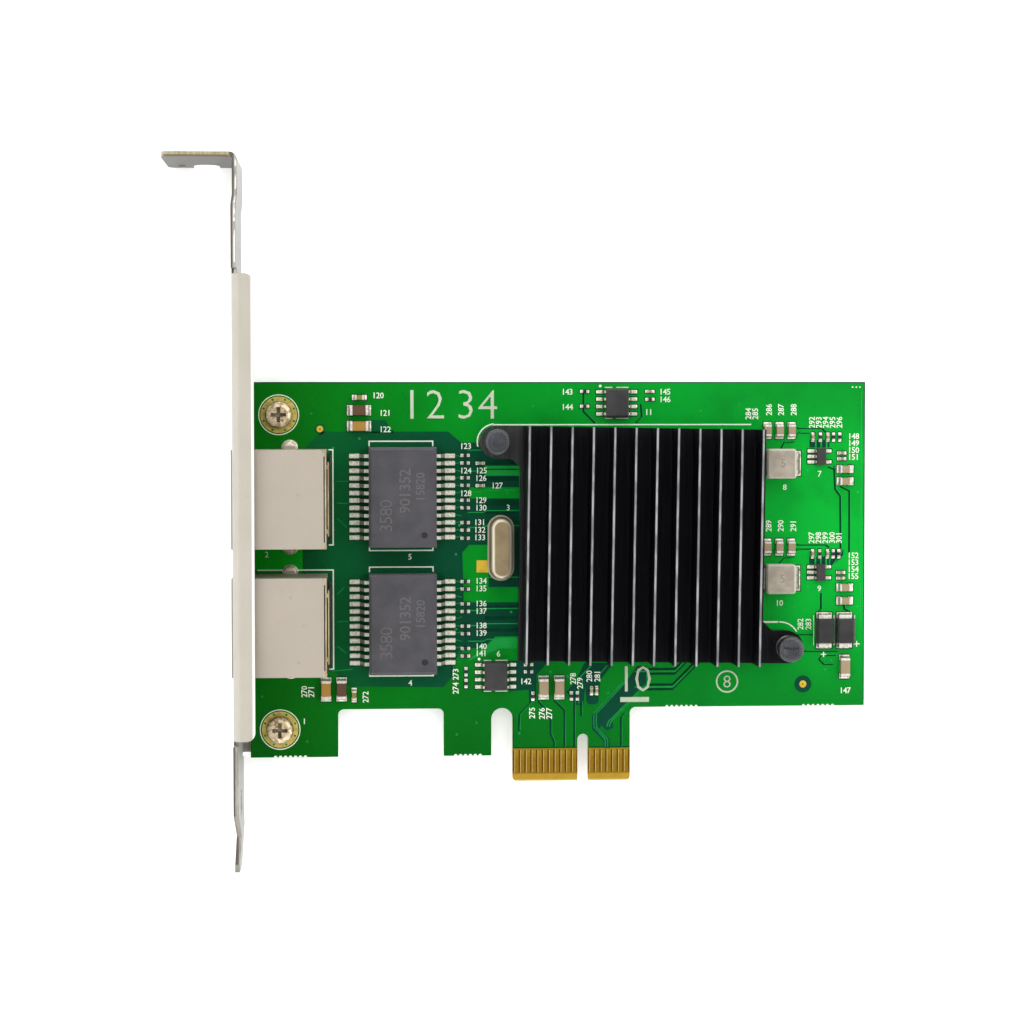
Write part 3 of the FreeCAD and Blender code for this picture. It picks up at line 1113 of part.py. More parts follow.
def make_crystal():
    """The crystal: header on the board, welded can over it and two leads through the board."""
    x, y = "-Sizes.crystal_left", "Sizes.crystal_height"
    header = new_body("crystal_header")
    place(header, x, y, TOP)
    sketch = new_sketch(header, "XY_Plane")
    draw_stadium(sketch, "Sizes.crystal_length", "Sizes.crystal_width")
    pad(header, sketch, "Sizes.crystal_flange")
    sketch = new_sketch(header, "XY_Plane")
    for side in (-1, 1):
        draw_circle(sketch, "0", f"{side} * Sizes.crystal_lead_spacing / 2", "Sizes.crystal_lead_radius")
    pocket(header, sketch)

    can = new_body("crystal_can")
    place(can, x, y, f"{TOP} + Sizes.crystal_flange")
    sketch = new_sketch(can, "XY_Plane")
    draw_stadium(sketch, "Sizes.crystal_length", "Sizes.crystal_width")
    pad(can, sketch, "Sizes.crystal_flange")
    sketch = new_sketch(can, "XY_Plane")
    step = "2 * Sizes.crystal_step"
    draw_stadium(sketch, f"Sizes.crystal_length - {step}", f"Sizes.crystal_width - {step}")
    pad(can, sketch, "Sizes.crystal_flange + Sizes.crystal_rise")
    roof = value(f"{TOP} + 2 * Sizes.crystal_flange + Sizes.crystal_rise")
    fillet(can, "Sizes.crystal_round", edge_names(can, z=roof))
    sketch = new_sketch(can, "XY_Plane")
    inset = f"{step} - 2 * Sizes.crystal_wall"
    draw_stadium(sketch, f"Sizes.crystal_length - {inset} - 4 * Sizes.crystal_wall",
                 f"Sizes.crystal_width - {inset} - 4 * Sizes.crystal_wall")
    pocket(can, sketch, "Sizes.crystal_flange + Sizes.crystal_rise - 2 * Sizes.crystal_wall", reverse=True)

    leads = new_body("crystal_leads")
    place(leads, x, y, f"{BOTTOM} - Sizes.pin_below")
    sketch = new_sketch(leads, "XY_Plane")
    for side in (-1, 1):
        draw_circle(sketch, "0", f"{side} * Sizes.crystal_lead_spacing / 2", "Sizes.crystal_lead_radius")
    pad(leads, sketch, "Sizes.board_thick + Sizes.pin_below + 2 * Sizes.crystal_flange")


def make_controller():
    """The controller chip under the heat sink and the thermal pad between them."""
    body = new_body("controller_chip")
    place(body, "Sizes.sink_left", "Sizes.sink_height", TOP)
    sketch = new_sketch(body, "XY_Plane")
    draw_centred(sketch, "Sizes.chip_side", "Sizes.chip_side")
    pad(body, sketch, "Sizes.chip_rise")
    chamfer(body, "Sizes.chip_edge", edge_names(body, z=value(f"{TOP} + Sizes.chip_rise")))
    half = "Sizes.chip_side / 2"
    soft = block((f"Sizes.sink_left - {half}", f"Sizes.sink_left + {half}"),
                 (f"Sizes.sink_height - {half}", f"Sizes.sink_height + {half}"),
                 (f"{TOP} + Sizes.chip_rise", SINK_UNDER))
    soft.Label = "thermal_pad"


def make_heat_sink():
    """The finned sink: a base with a lug at two opposite corners and a row of straight fins."""
    body = new_body("heat_sink")
    place(body, "Sizes.sink_left", "Sizes.sink_height", SINK_UNDER, turn="Sizes.sink_turn")
    sketch = new_sketch(body, "XY_Plane")
    draw_centred(sketch, "Sizes.sink_width", "Sizes.sink_depth")
    pad(body, sketch, "Sizes.sink_base")
    for side in (-1, 1):
        edge = f"{side} * Sizes.sink_width / 2"
        outer, inner = f"{side} * {LUG_X}", f"{edge} - {side}"
        top, low = f"{-side} * ({LUG_Y} + Sizes.lug_radius)", f"{-side} * ({LUG_Y} - Sizes.lug_radius)"
        web = f"{-side} * ({LUG_Y} - Sizes.lug_radius - Sizes.lug_web)"
        sketch = new_sketch(body, "XY_Plane")
        draw_polygon(sketch, [(outer, top), (inner, top), (inner, web), (edge, web),
                              (f"{edge} + {side} * Sizes.lug_web", low), (outer, low)])
        pad(body, sketch, "Sizes.sink_base")
        sketch = new_sketch(body, "XY_Plane")
        draw_circle(sketch, outer, f"{-side} * {LUG_Y}", "Sizes.lug_radius")
        pad(body, sketch, "Sizes.sink_base")
    sketch = new_sketch(body, "XY_Plane")
    for side in (-1, 1):
        draw_circle(sketch, f"{side} * {LUG_X}", f"{-side} * {LUG_Y}",
                    "Sizes.pin_radius + Sizes.pin_clearance")
    pocket(body, sketch)
    sketch = new_sketch(body, "XY_Plane", "Sizes.sink_base")
    first = "Sizes.fin_inset + Sizes.fin_thick / 2 - Sizes.sink_width / 2 + Sizes.fin_shift"
    draw_rectangle(sketch, f"{first} - Sizes.fin_thick / 2", f"{first} + Sizes.fin_thick / 2",
                   "-Sizes.sink_depth / 2", "Sizes.sink_depth / 2")
    fin = pad(body, sketch, "Sizes.fin_rise")
    row(body, fin, "X_Axis", FIN_PITCH, "Sizes.fin_count")
    return body


def make_push_pin(name, side):
    """A split push pin: head over its spring, shank through lug and board, barb behind the board."""
    body = new_body(f"push_pin_{name}")
    x, y = pin_axis(side)
    place(body, x, y)
    head_top = f"{PIN_RISE} + Sizes.pin_head_rise"
    sketch = new_sketch(body, "XZ_Plane")
    draw_polygon(sketch, [
        ("0", head_top), ("Sizes.pin_head_radius", head_top), ("Sizes.pin_head_radius", PIN_RISE),
        ("Sizes.pin_radius", PIN_RISE), ("Sizes.pin_radius", BOTTOM), ("Sizes.pin_barb_radius", BOTTOM),
        ("Sizes.pin_tip_radius", "-Sizes.solder_drop"), ("0", "-Sizes.solder_drop")])
    turned = body.newObject("PartDesign::Revolution", f"{body.Label}_turned")
    turned.Profile = sketch
    turned.ReferenceAxis = (sketch, ["V_Axis"])
    turned.Angle = 360
    body.Tip = turned
    doc.recompute()
    fillet(body, "Sizes.pin_head_round", edge_names(body, z=value(head_top)))
    sketch = new_sketch(body, "XZ_Plane")
    draw_rectangle(sketch, "-Sizes.pin_slit / 2", "Sizes.pin_slit / 2", f"-Sizes.solder_drop - {PAST}", TOP)
    pocket(body, sketch)
    return body


def make_pin_spring(name, side):
    """The compression spring between a lug and the head of its push pin."""
    body = new_body(f"push_pin_{name}_spring")
    x, y = pin_axis(side)
    place(body, x, y, f"{SINK_UNDER} + Sizes.sink_base + Sizes.spring_wire")
    sketch = new_sketch(body, "XZ_Plane")
    draw_circle(sketch, "Sizes.spring_radius", "0", "Sizes.spring_wire")
    coil = body.newObject("PartDesign::AdditiveHelix", f"{body.Label}_coil")
    coil.Profile = sketch
    coil.ReferenceAxis = (origin_part(body, "Z_Axis"), [""])
    coil.Mode = "height-turns-angle"
    coil.setExpression("Height", "Sizes.spring_rise - 2 * Sizes.spring_wire")
    coil.setExpression("Turns", "Sizes.spring_turns")
    body.Tip = coil
    doc.recompute()
    return body


def make_all():
    make_board()
    make_edge_contacts("edge_contacts_front", TOP, 1)
    make_edge_contacts("edge_contacts_back", BOTTOM, -1)
    make_bracket()
    for name, height in SCREWS.items():
        make_bracket_screw(name, height)
    for name, middle in JACKS.items():
        make_jack_shield(name, middle)
        make_jack_housing(name, middle)
        make_jack_contacts(name, middle)
        make_jack_lamp(name, middle, -1, "link")
        make_jack_lamp(name, middle, 1, "activity")
    rows = [(side, "Sizes.trans_lead_pitch", "Sizes.trans_leads") for side in (-1, 1)]
    for name, middle in TRANSFORMERS.items():
        make_package(f"transformer_{name}", "-Sizes.left_reach + Sizes.trans_inset", middle, "trans",
                     rows, dimple=True)
    rows = [(side, "Sizes.memory_lead_pitch", "Sizes.memory_leads") for side in (-1, 1)]
    for name, (x, y) in MEMORY_CHIPS.items():
        make_package(name, f"{x}", f"{y}", "memory", rows)
    rows = [(-1, "Sizes.regulator_lead_pitch", "3"), (1, "(2 * Sizes.regulator_lead_pitch)", "2")]
    for name, (x, y) in REGULATORS.items():
        make_package(name, f"Sizes.right_reach + {x}", f"{y}", "regulator", rows)
    for name, (x, y) in COILS.items():
        make_inductor(name, f"Sizes.right_reach + {x}", f"{y}")
    for name, (x, y) in DIODES.items():
        make_diode(name, f"Sizes.right_reach + {x}", f"{y}")
    make_chips("capacitors_1206", LARGE_CAPACITORS, "large", "large_rise")
    make_chips("capacitors_0805", MEDIUM_CAPACITORS, "medium", "medium_rise")
    make_chips("capacitors_0603", SMALL_CAPACITORS, "small", "small_rise")
    make_chips("capacitors_0402", TINY_CAPACITORS, "tiny", "tiny_rise")
    make_chips("resistors_0402", TINY_RESISTORS + resistor_pairs(), "tiny", "tiny_resistor_rise")
    make_crystal()
    make_controller()
    make_heat_sink()
    for name, side in PINS.items():
        make_push_pin(name, side)
        make_pin_spring(name, side)


def sub_parts():
    """The finished sub-parts: every shaped object that no other object is built from."""
    kinds = ("PartDesign::Body", "Part::Compound", "Part::Cut", "Part::MultiFuse", "Part::Box")
    shaped = [item for item in doc.Objects if item.TypeId in kinds]
    used = set()
    for item in doc.Objects:
        if item.TypeId in kinds[1:4]:
            used.update(source.Name for source in item.OutList)
    return [item for item in shaped if item.Name not in used]


def check_and_export():
    """Stop on any failed object, then write each sub-part to its own file."""
    doc.recompute()
    for item in doc.Objects:
        if "Invalid" in item.State or "Error" in item.State:
            raise RuntimeError(f"{item.Label} failed: {item.State}")
    finished = sub_parts()
    for item in finished:
        if item.Shape.isNull() or not item.Shape.isValid():
            raise RuntimeError(f"{item.Label} has a null or invalid shape")
    os.makedirs("parts", exist_ok=True)
    for item in finished:
        item.Shape.exportStep(f"parts/{item.Label}.step")
        print(item.Label, len(item.Shape.Solids), round(item.Shape.Volume, 3))
    print(len(finished), "sub-parts")


make_all()
check_and_export()
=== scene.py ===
import math

import bmesh
import bpy
from bpy.props import FloatProperty, FloatVectorProperty, IntProperty, PointerProperty
from mathutils import Matrix, Vector


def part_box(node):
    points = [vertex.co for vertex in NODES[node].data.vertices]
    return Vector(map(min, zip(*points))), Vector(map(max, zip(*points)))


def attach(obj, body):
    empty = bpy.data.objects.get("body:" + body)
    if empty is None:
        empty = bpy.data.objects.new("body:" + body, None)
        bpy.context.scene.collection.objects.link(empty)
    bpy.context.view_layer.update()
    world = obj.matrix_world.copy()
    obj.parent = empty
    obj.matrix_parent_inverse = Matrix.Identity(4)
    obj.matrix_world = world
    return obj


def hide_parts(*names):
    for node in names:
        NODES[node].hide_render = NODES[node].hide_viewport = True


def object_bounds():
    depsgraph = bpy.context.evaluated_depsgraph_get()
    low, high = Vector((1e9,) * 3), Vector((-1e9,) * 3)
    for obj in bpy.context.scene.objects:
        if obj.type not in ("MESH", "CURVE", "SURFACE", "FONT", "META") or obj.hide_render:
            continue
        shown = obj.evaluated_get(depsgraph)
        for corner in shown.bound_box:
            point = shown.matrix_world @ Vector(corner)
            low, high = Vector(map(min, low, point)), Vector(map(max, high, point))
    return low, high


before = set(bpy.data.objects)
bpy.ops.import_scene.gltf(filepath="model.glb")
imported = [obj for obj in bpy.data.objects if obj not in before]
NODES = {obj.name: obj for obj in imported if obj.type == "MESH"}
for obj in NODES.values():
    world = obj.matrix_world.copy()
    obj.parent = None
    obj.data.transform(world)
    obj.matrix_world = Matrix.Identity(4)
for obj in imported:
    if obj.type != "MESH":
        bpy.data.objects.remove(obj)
CAD_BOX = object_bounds()

bl_info = {
    "name": "Network Interface Card",
    "version": (1, 0, 0),
    "blender": (4, 5, 0),
    "location": "View3D > Sidebar > Card",
    "description": "Finishes, printing, solder and small parts of a network interface card",
    "category": "Object",
}

MM = 0.001
GROUPS = ("card_studio", "card_board", "card_print", "card_solder", "card_metal", "card_sink")


def settings(name):
    """The user's settings of one group."""
    return getattr(bpy.context.scene, name)


def span(node):
    """Lowest and highest corner of a CAD node in millimetres."""
    low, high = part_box(node)
    return low / MM, high / MM


def middle(node):
    """Centre of a CAD node's box in millimetres."""
    low, high = span(node)
    return (low + high) / 2


BOARD_LOW, BOARD_HIGH = span("circuit_board")
FACE = {1: BOARD_HIGH.z, -1: -BOARD_LOW.z}
# The values from here to the tongue's halves are typed in, in millimetres and degrees: they don't
# follow the frame
# The heat sink: its turn on the board, its first fin from its middle and the fins' pitch
SINK_TURN = -0.9
SINK_FIRST = -20.05
SINK_PITCH = 39.5 / 11
# Front of a jack to the pegs that hold it in the board
PEG_BACK = 9.35
# The bracket's sheet, its tab and the ends of its flange
SHEET = 0.86
TAB_LENGTH = 11.43
FLANGE_ENDS = (9.15, 86.52)
FLANGE_REACH = 3.65
# The connector's tongue: its edge on the bracket's side, the line where its gold ends and the
# gold halves on both sides of the key notch
TONGUE_LEFT = -12.15
TONGUE_TOP = 5.65
TONGUE_HALVES = ((-12.1, -1.02), (1.02, 8.1))
# Heights over the board face of what is printed and plated on it, in millimetres
CLEARING = (0.0, 0.008)
CLEARED_LINE = (0.001, 0.01)
HALO = (0.003, 0.0135)
COPPER = (0.004, 0.02)
PLATED = (0.004, 0.03)
INK = (0.004, 0.045)
# Stroke weight of the figures: lighter where they are tall
TALL_FIGURE = 2.0
LIGHT_STROKE = -0.012
HEAVY_STROKE = 0.006
# Width of a figure's place, for each unit of height
FIGURE_PITCH = 0.66
# Two round gold targets. Places on the board in millimetres, typed in: they don't follow the frame
LOW_TARGET = (38.38, 16.46)
HIGH_TARGET = (-45.14, 60.86)
# The camera's place in millimetres and its turn about an axis in radians. Both were fitted outside
# this script and typed in, as was the lens below: they don't follow the frame
CAMERA_PLACE = (-38.12, 62.27, 421.81)
CAMERA_SPIN = (3.17730883, -0.00349776, 0.09761311)


# ------------------------------------------------------------------ node graphs

class Signal:
    """A node socket in an expression. Each operator adds its own Math node."""

    def __init__(self, graph, socket):
        self.graph = graph
        self.socket = socket

    def __add__(self, other):
        return self.graph.maths("ADD", self, other)

    def __radd__(self, other):
        return self.graph.maths("ADD", other, self)

    def __sub__(self, other):
        return self.graph.maths("SUBTRACT", self, other)

    def __rsub__(self, other):
        return self.graph.maths("SUBTRACT", other, self)

    def __mul__(self, other):
        return self.graph.maths("MULTIPLY", self, other)

    def __rmul__(self, other):
        return self.graph.maths("MULTIPLY", other, self)

    def __truediv__(self, other):
        return self.graph.maths("DIVIDE", self, other)

    def __rtruediv__(self, other):
        return self.graph.maths("DIVIDE", other, self)

    def __pow__(self, other):
        return self.graph.maths("POWER", self, other)

    def __gt__(self, other):
        return self.graph.maths("GREATER_THAN", self, other)

    def __lt__(self, other):
        return self.graph.maths("LESS_THAN", self, other)

    def __neg__(self):
        return self.graph.maths("MULTIPLY", self, -1.0)

    def __abs__(self):
        return self.graph.maths("ABSOLUTE", self)

    def least(self, other):
        return self.graph.maths("MINIMUM", self, other)

    def most(self, other):
        return self.graph.maths("MAXIMUM", self, other)


class Graph:
    """A node tree that is written as expressions."""

    def __init__(self, tree):
        self.tree = tree

    def feed(self, socket, value):
        if isinstance(value, Signal):
            self.tree.links.new(value.socket, socket)
        elif socket.type == "RGBA":
            socket.default_value = (*value[:3], 1.0)
        else:
            socket.default_value = value

    def node(self, kind, choices=None, inputs=None, output=0):
        """Add a node: its choices are set first, then its sockets by name or number."""
        made = self.tree.nodes.new(kind)
        for key, value in (choices or {}).items():
            if key in ("stops", "bands"):
                ramp = made.color_ramp
                ramp.interpolation = "CONSTANT" if key == "bands" else "LINEAR"
                while len(ramp.elements) < len(value):
                    ramp.elements.new(1.0)
                for element, (position, colour) in zip(ramp.elements, value):
                    element.position = position
                    element.color = (*colour, 1.0)
            else:
                setattr(made, key, value)
        for key, value in (inputs or {}).items():
            self.feed(made.inputs[key], value)
        return Signal(self, made.outputs[output]) if made.outputs else None

    def maths(self, operation, *values):
        return self.node("ShaderNodeMath", {"operation": operation}, dict(enumerate(values)))

    def vector_maths(self, operation, *values):
        return self.node("ShaderNodeVectorMath", {"operation": operation}, dict(enumerate(values)))

    def vector(self, x, y, z):
        return self.node("ShaderNodeCombineXYZ", None, {0: x, 1: y, 2: z})


class Finish(Graph):
    """One material, with the patterns that its colours and reliefs are made of."""

    def __init__(self, name):
        self.material = bpy.data.materials.new(name)
        self.material.use_nodes = True
        super().__init__(self.material.node_tree)
        self.tree.nodes.clear()
        raw = self.node("ShaderNodeTexCoord", None, None, "Object")
        self.place = self.vector_maths("MULTIPLY", raw, (1 / MM, 1 / MM, 1 / MM))
        self.x, self.y, self.z = (self.node("ShaderNodeSeparateXYZ", None, {0: self.place}, axis)
                                  for axis in (0, 1, 2))

    def facing(self, axis):
        """How far the surface faces along an axis of the card, from -1 to 1."""
        normal = self.node("ShaderNodeTexCoord", None, None, "Normal")
        return self.node("ShaderNodeSeparateXYZ", None, {0: normal}, axis)

    def noise(self, size, detail=2.0, stretch=(1, 1, 1), roughness=0.5):
        """Soft noise from 0 to 1, with grains of a size in millimetres."""
        scaled = self.vector_maths("MULTIPLY", self.place, tuple(s / size for s in stretch))
        return self.node("ShaderNodeTexNoise", {"noise_dimensions": "3D"},
                         {"Vector": scaled, "Scale": 1.0, "Detail": detail, "Roughness": roughness})

    def cells(self, size, stretch=(1, 1, 1)):
        scaled = self.vector_maths("MULTIPLY", self.place, tuple(s / size for s in stretch))
        return self.node("ShaderNodeTexVoronoi", {"feature": "F1"},
                         {"Vector": scaled, "Scale": 1.0})

    def step(self, value, low, high, start=0.0, end=1.0):
        """A smooth step of a value between two limits."""
        return self.node("ShaderNodeMapRange", {"interpolation_type": "SMOOTHSTEP"},
                         {"Value": value, "From Min": low, "From Max": high,
                          "To Min": start, "To Max": end})

    def mix(self, first, second, amount):
        return self.node("ShaderNodeMix", {"data_type": "RGBA"}, {0: amount, 6: first, 7: second}, 2)

    def bands(self, value, stops):
        """Plain bands of colour, each from its own value upwards."""
        return self.node("ShaderNodeValToRGB", {"bands": stops}, {"Fac": value})

    def mask_green_painted_shade(self):
        """The mask's green, with painted light and shade: darker at the bracket and along the lower edge."""
        board = settings("card_board")
        # painted light: the green brightens away from the bracket; painted shade darkens it towards the
        # lower edge and in two patches
        along = self.step(self.x, BOARD_LOW.x - 12, BOARD_HIGH.x - 8)
        up = self.step(self.y, 0.0, 30.0, 0.5, 1.0) * self.step(self.y, 50.0, 70.0, 1.0, 0.86)
        up = up * (1.0 - 0.26 * self.step(self.x, 10.0, 40.0) * self.step(self.y, 56.0, 66.0))
        up = up * (1.0 - 0.34 * self.step(self.x, -32.0, -20.0) * self.step(self.y, 12.0, 30.0, 1.0, 0.0))
        return self.mix((0.0, 0.02, 0.0), self.mix(board.mask_near, board.mask_far, along), up)

    def attribute(self, name):
        return self.node("ShaderNodeAttribute", {"attribute_name": name}, None, "Fac")

    def bump(self, height, depth, strength=1.0):
        """A relief of a height signal, with its depth in millimetres."""
        return self.node("ShaderNodeBump", None,
                         {"Height": height, "Distance": depth * MM, "Strength": strength})

    def surface(self, colour, roughness, metallic=0.0, normal=None, **constants):
        inputs = {"Base Color": colour, "Roughness": roughness, "Metallic": metallic}
        if normal:
            inputs["Normal"] = normal
        for key, value in constants.items():
            inputs[key.replace("_", " ")] = value
        shader = self.node("ShaderNodeBsdfPrincipled", None, inputs)
        self.node("ShaderNodeOutputMaterial", None, {"Surface": shader})
        return self.material


class Recipe(Graph):
    """A Geometry Nodes tree with named inputs, for what repeats."""

    def __init__(self, name, inputs):
        super().__init__(bpy.data.node_groups.new(name, "GeometryNodeTree"))
        face = self.tree.interface
        face.new_socket("Geometry", in_out="INPUT", socket_type="NodeSocketGeometry")
        self.keys = {}
        for label, kind in inputs.items():
            made = face.new_socket(label, in_out="INPUT", socket_type=f"NodeSocket{kind}")
            self.keys[label] = made.identifier
        face.new_socket("Geometry", in_out="OUTPUT", socket_type="NodeSocketGeometry")
        self.entry = self.tree.nodes.new("NodeGroupInput")

    def given(self, label):
        return Signal(self, self.entry.outputs[label])

    def named(self, name, kind="FLOAT_VECTOR"):
        return self.node("GeometryNodeInputNamedAttribute", {"data_type": kind}, {"Name": name})

    def end(self, geometry, material):
        """Realize the instances, give them the finish and close the tree."""
        real = self.node("GeometryNodeRealizeInstances", None, {"Geometry": geometry})
        coated = self.node("GeometryNodeSetMaterial", None, {"Geometry": real, "Material": material})
        closing = self.tree.nodes.new("NodeGroupOutput")
        self.tree.links.new(coated.socket, closing.inputs["Geometry"])


def scatter_recipe():
    """Puts a shape on every point, turned and stretched by the point's own values."""
    known = bpy.data.node_groups.get("scatter_on_points")
    if known:
        return known, known["keys"].to_dict()
    recipe = Recipe("scatter_on_points", {"Shape": "Object", "Finish": "Material",
                                          "Size Variation": "Float", "Seed": "Int"})
    shape = recipe.node("GeometryNodeObjectInfo", {"transform_space": "ORIGINAL"},
                        {"Object": recipe.given("Shape")}, "Geometry")
    swing = recipe.given("Size Variation")
    change = recipe.node("FunctionNodeRandomValue", {"data_type": "FLOAT"},
                         {2: 1.0 - swing, 3: 1.0 + swing, "Seed": recipe.given("Seed")}, 1)
    spread = recipe.vector_maths("MULTIPLY", recipe.named("stretch"), recipe.vector(change, change, 1.0))
    turn = recipe.node("FunctionNodeEulerToRotation", None, {0: recipe.named("turn")})
    placed = recipe.node("GeometryNodeInstanceOnPoints", None,
                         {"Points": recipe.given("Geometry"), "Instance": shape,
                          "Rotation": turn, "Scale": spread})
    recipe.end(placed, recipe.given("Finish"))
    recipe.tree["keys"] = recipe.keys
    return recipe.tree, recipe.keys


def grow(holder, tree, keys, values):
    """Run a recipe on an object and return the result as a plain mesh."""
    modifier = holder.modifiers.new("recipe", "NODES")
    modifier.node_group = tree
    for label, value in values.items():
        modifier[keys[label]] = value
    graph = bpy.context.evaluated_depsgraph_get()
    mesh = bpy.data.meshes.new_from_object(holder.evaluated_get(graph))
    holder.modifiers.remove(modifier)
    bpy.data.objects.remove(holder)
    for spent in ("turn", "stretch"):
        if spent in mesh.attributes:
            mesh.attributes.remove(mesh.attributes[spent])
    return mesh


# ------------------------------------------------------------------ meshes

def link(name, mesh):
    made = bpy.data.objects.new(name, mesh)
    bpy.context.scene.collection.objects.link(made)
    return made


def settle(name, mesh, finish=None, smooth=None):
    """Make a mesh a piece of the card."""
    if finish:
        mesh.materials.clear()
        mesh.materials.append(finish)
    if smooth is not None:
        mesh.shade_smooth()
        mesh.set_sharp_from_angle(angle=math.radians(smooth))
    piece = link(name, mesh)
    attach(piece, "root")
    return piece


class Shapes:
    """Gathers closed thin shapes in millimetres over one face of the board."""

    def __init__(self, side=1):
        self.side = side
        self.points = []
        self.faces = []

    def add(self, points, faces):
        first = len(self.points)
        for x, y, z in points:
            self.points.append((x * MM, y * MM, self.side * (FACE[self.side] + z) * MM))
        for face in faces:
            face = [first + index for index in face]
            self.faces.append(face if self.side > 0 else face[::-1])

    def plate(self, outline, layer):
        """A flat plate on a closed outline."""
        turn = sum(a[0] * b[1] - b[0] * a[1] for a, b in zip(outline, outline[1:] + outline[:1]))
        outline = outline if turn > 0 else outline[::-1]
        count = len(outline)
        low, high = layer
        points = [(x, y, low) for x, y in outline] + [(x, y, high) for x, y in outline]
        faces = [tuple(range(count - 1, -1, -1)), tuple(range(count, 2 * count))]
        faces += [(i, (i + 1) % count, count + (i + 1) % count, count + i) for i in range(count)]
        self.add(points, faces)

    def slab(self, left, low, right, high, layer):
        self.plate([(left, low), (right, low), (right, high), (left, high)], layer)

    def pebble(self, x, y, wide, tall, layer, corner=0.25, steps=3):
        """A rectangle with round corners."""
        corner = min(corner, wide / 2, tall / 2)
        outline = []
        for sx, sy, start in ((1, -1, -90), (1, 1, 0), (-1, 1, 90), (-1, -1, 180)):
            cx, cy = x + sx * (wide / 2 - corner), y + sy * (tall / 2 - corner)
            for k in range(steps + 1):
                angle = math.radians(start + 90 * k / steps)
                outline.append((cx + corner * math.cos(angle), cy + corner * math.sin(angle)))
        self.plate(outline, layer)

    def ribbon(self, path, width, layer):
        """A strip of one width along a path, mitred at its corners."""
        left, right = [], []
        for index, here in enumerate(path):
            here = Vector(here)
            ways = []
            if index:
                ways.append((here - Vector(path[index - 1])).normalized())
            if index < len(path) - 1:
                ways.append((Vector(path[index + 1]) - here).normalized())
            sides = [Vector((-way.y, way.x)) for way in ways]
            mitre = sides[0] if len(sides) == 1 else (sides[0] + sides[1]) / (1 + sides[0].dot(sides[1]))
            left.append(tuple(here + mitre * width / 2))
            right.append(tuple(here - mitre * width / 2))
        self.plate(right + left[::-1], layer)

    def ring(self, x, y, outer, inner, layer, sides=32, start=0.0, sweep=360.0):
        """A flat ring, or a part of one."""
        low, high = layer
        whole = sweep >= 360
        count = sides if whole else sides + 1
        points = []
        for k in range(count):
            angle = math.radians(start + sweep * k / sides)
            for radius, z in ((outer, low), (outer, high), (inner, high), (inner, low)):
                points.append((x + radius * math.cos(angle), y + radius * math.sin(angle), z))
        faces = []
        for k in range(sides):
            here, after = 4 * k, 4 * ((k + 1) % count)
            for c in range(4):
                n = (c + 1) % 4
                faces.append((here + c, after + c, after + n, here + n))
        if not whole:
            faces += [(0, 1, 2, 3), tuple(4 * (count - 1) + c for c in (3, 2, 1, 0))]
        self.add(points, faces)

    def disc(self, x, y, radius, layer, sides=24):
        self.plate([(x + radius * math.cos(2 * math.pi * k / sides),
                     y + radius * math.sin(2 * math.pi * k / sides)) for k in range(sides)], layer)

    def number(self, text, x, y, height, layer, turn=0.0):
        """Plain figures centred on a point."""
        weight = LIGHT_STROKE if height > TALL_FIGURE else HEAVY_STROKE
        glyphs = [figure(c, weight) for c in text]
        start = -FIGURE_PITCH * (len(text) - 1) / 2
        angle = math.radians(turn)
        low, high = layer
        for index, (points, faces) in enumerate(glyphs):
            placed = []
            for gx, gy, gz in points:
                px, py = (gx + start + index * FIGURE_PITCH) * height, gy * height
                px *= self.side
                placed.append((x + px * math.cos(angle) - py * math.sin(angle),
                               y + px * math.sin(angle) + py * math.cos(angle),
                               high if gz > 0 else low))
            self.add(placed, faces if self.side > 0 else [face[::-1] for face in faces])

    def mesh(self, name):
        made = bpy.data.meshes.new(name)
        made.from_pydata(self.points, [], self.faces)
        made.validate()
        return made


FIGURES = {}


def figure(character, weight):
    """The points and faces of one plain figure, one unit high and centred."""
    if (character, weight) not in FIGURES:
        curve = bpy.data.curves.new("figure", "FONT")
        curve.body = character
        curve.resolution_u = 2
        curve.extrude = 0.1
        curve.offset = weight
        holder = link("figure", curve)
        graph = bpy.context.evaluated_depsgraph_get()
        mesh = bpy.data.meshes.new_from_object(holder.evaluated_get(graph))
        bpy.data.objects.remove(holder)
        xs = [v.co.x for v in mesh.vertices]
        ys = [v.co.y for v in mesh.vertices]
        cx, cy, tall = (min(xs) + max(xs)) / 2, (min(ys) + max(ys)) / 2, max(ys) - min(ys)
        points = [((v.co.x - cx) / tall, (v.co.y - cy) / tall, v.co.z) for v in mesh.vertices]
        FIGURES[character, weight] = (points, [tuple(p.vertices) for p in mesh.polygons])
        bpy.data.meshes.remove(mesh)
    return FIGURES[character, weight]


def lathe(profile, sides=24):
    """Points and faces of a profile of (radius, height) turned about the Z axis, in millimetres."""
    points, faces, rings = [], [], []
    for radius, height in profile:
        if radius < 1e-6:
            rings.append([len(points)])
            points.append((0.0, 0.0, height))
        else:
            rings.append(list(range(len(points), len(points) + sides)))
            points += [(radius * math.cos(2 * math.pi * k / sides),
                        radius * math.sin(2 * math.pi * k / sides), height) for k in range(sides)]
    for lower, upper in zip(rings, rings[1:]):
        for k in range(sides):
            n = (k + 1) % sides
            if len(lower) == 1:
                faces.append((lower[0], upper[n], upper[k]))
            elif len(upper) == 1:
                faces.append((lower[k], lower[n], upper[0]))
            else:
                faces.append((lower[k], lower[n], upper[n], upper[k]))
    return points, faces


def raw_mesh(name, points, faces):
    mesh = bpy.data.meshes.new(name)
    mesh.from_pydata([tuple(c * MM for c in p) for p in points], [], faces)
    mesh.validate()
    return mesh


def outward(mesh):
    """Turn every face of a closed mesh outwards."""
    work = bmesh.new()
    work.from_mesh(mesh)
    bmesh.ops.recalc_face_normals(work, faces=work.faces)
    work.to_mesh(mesh)
    work.free()
    return mesh


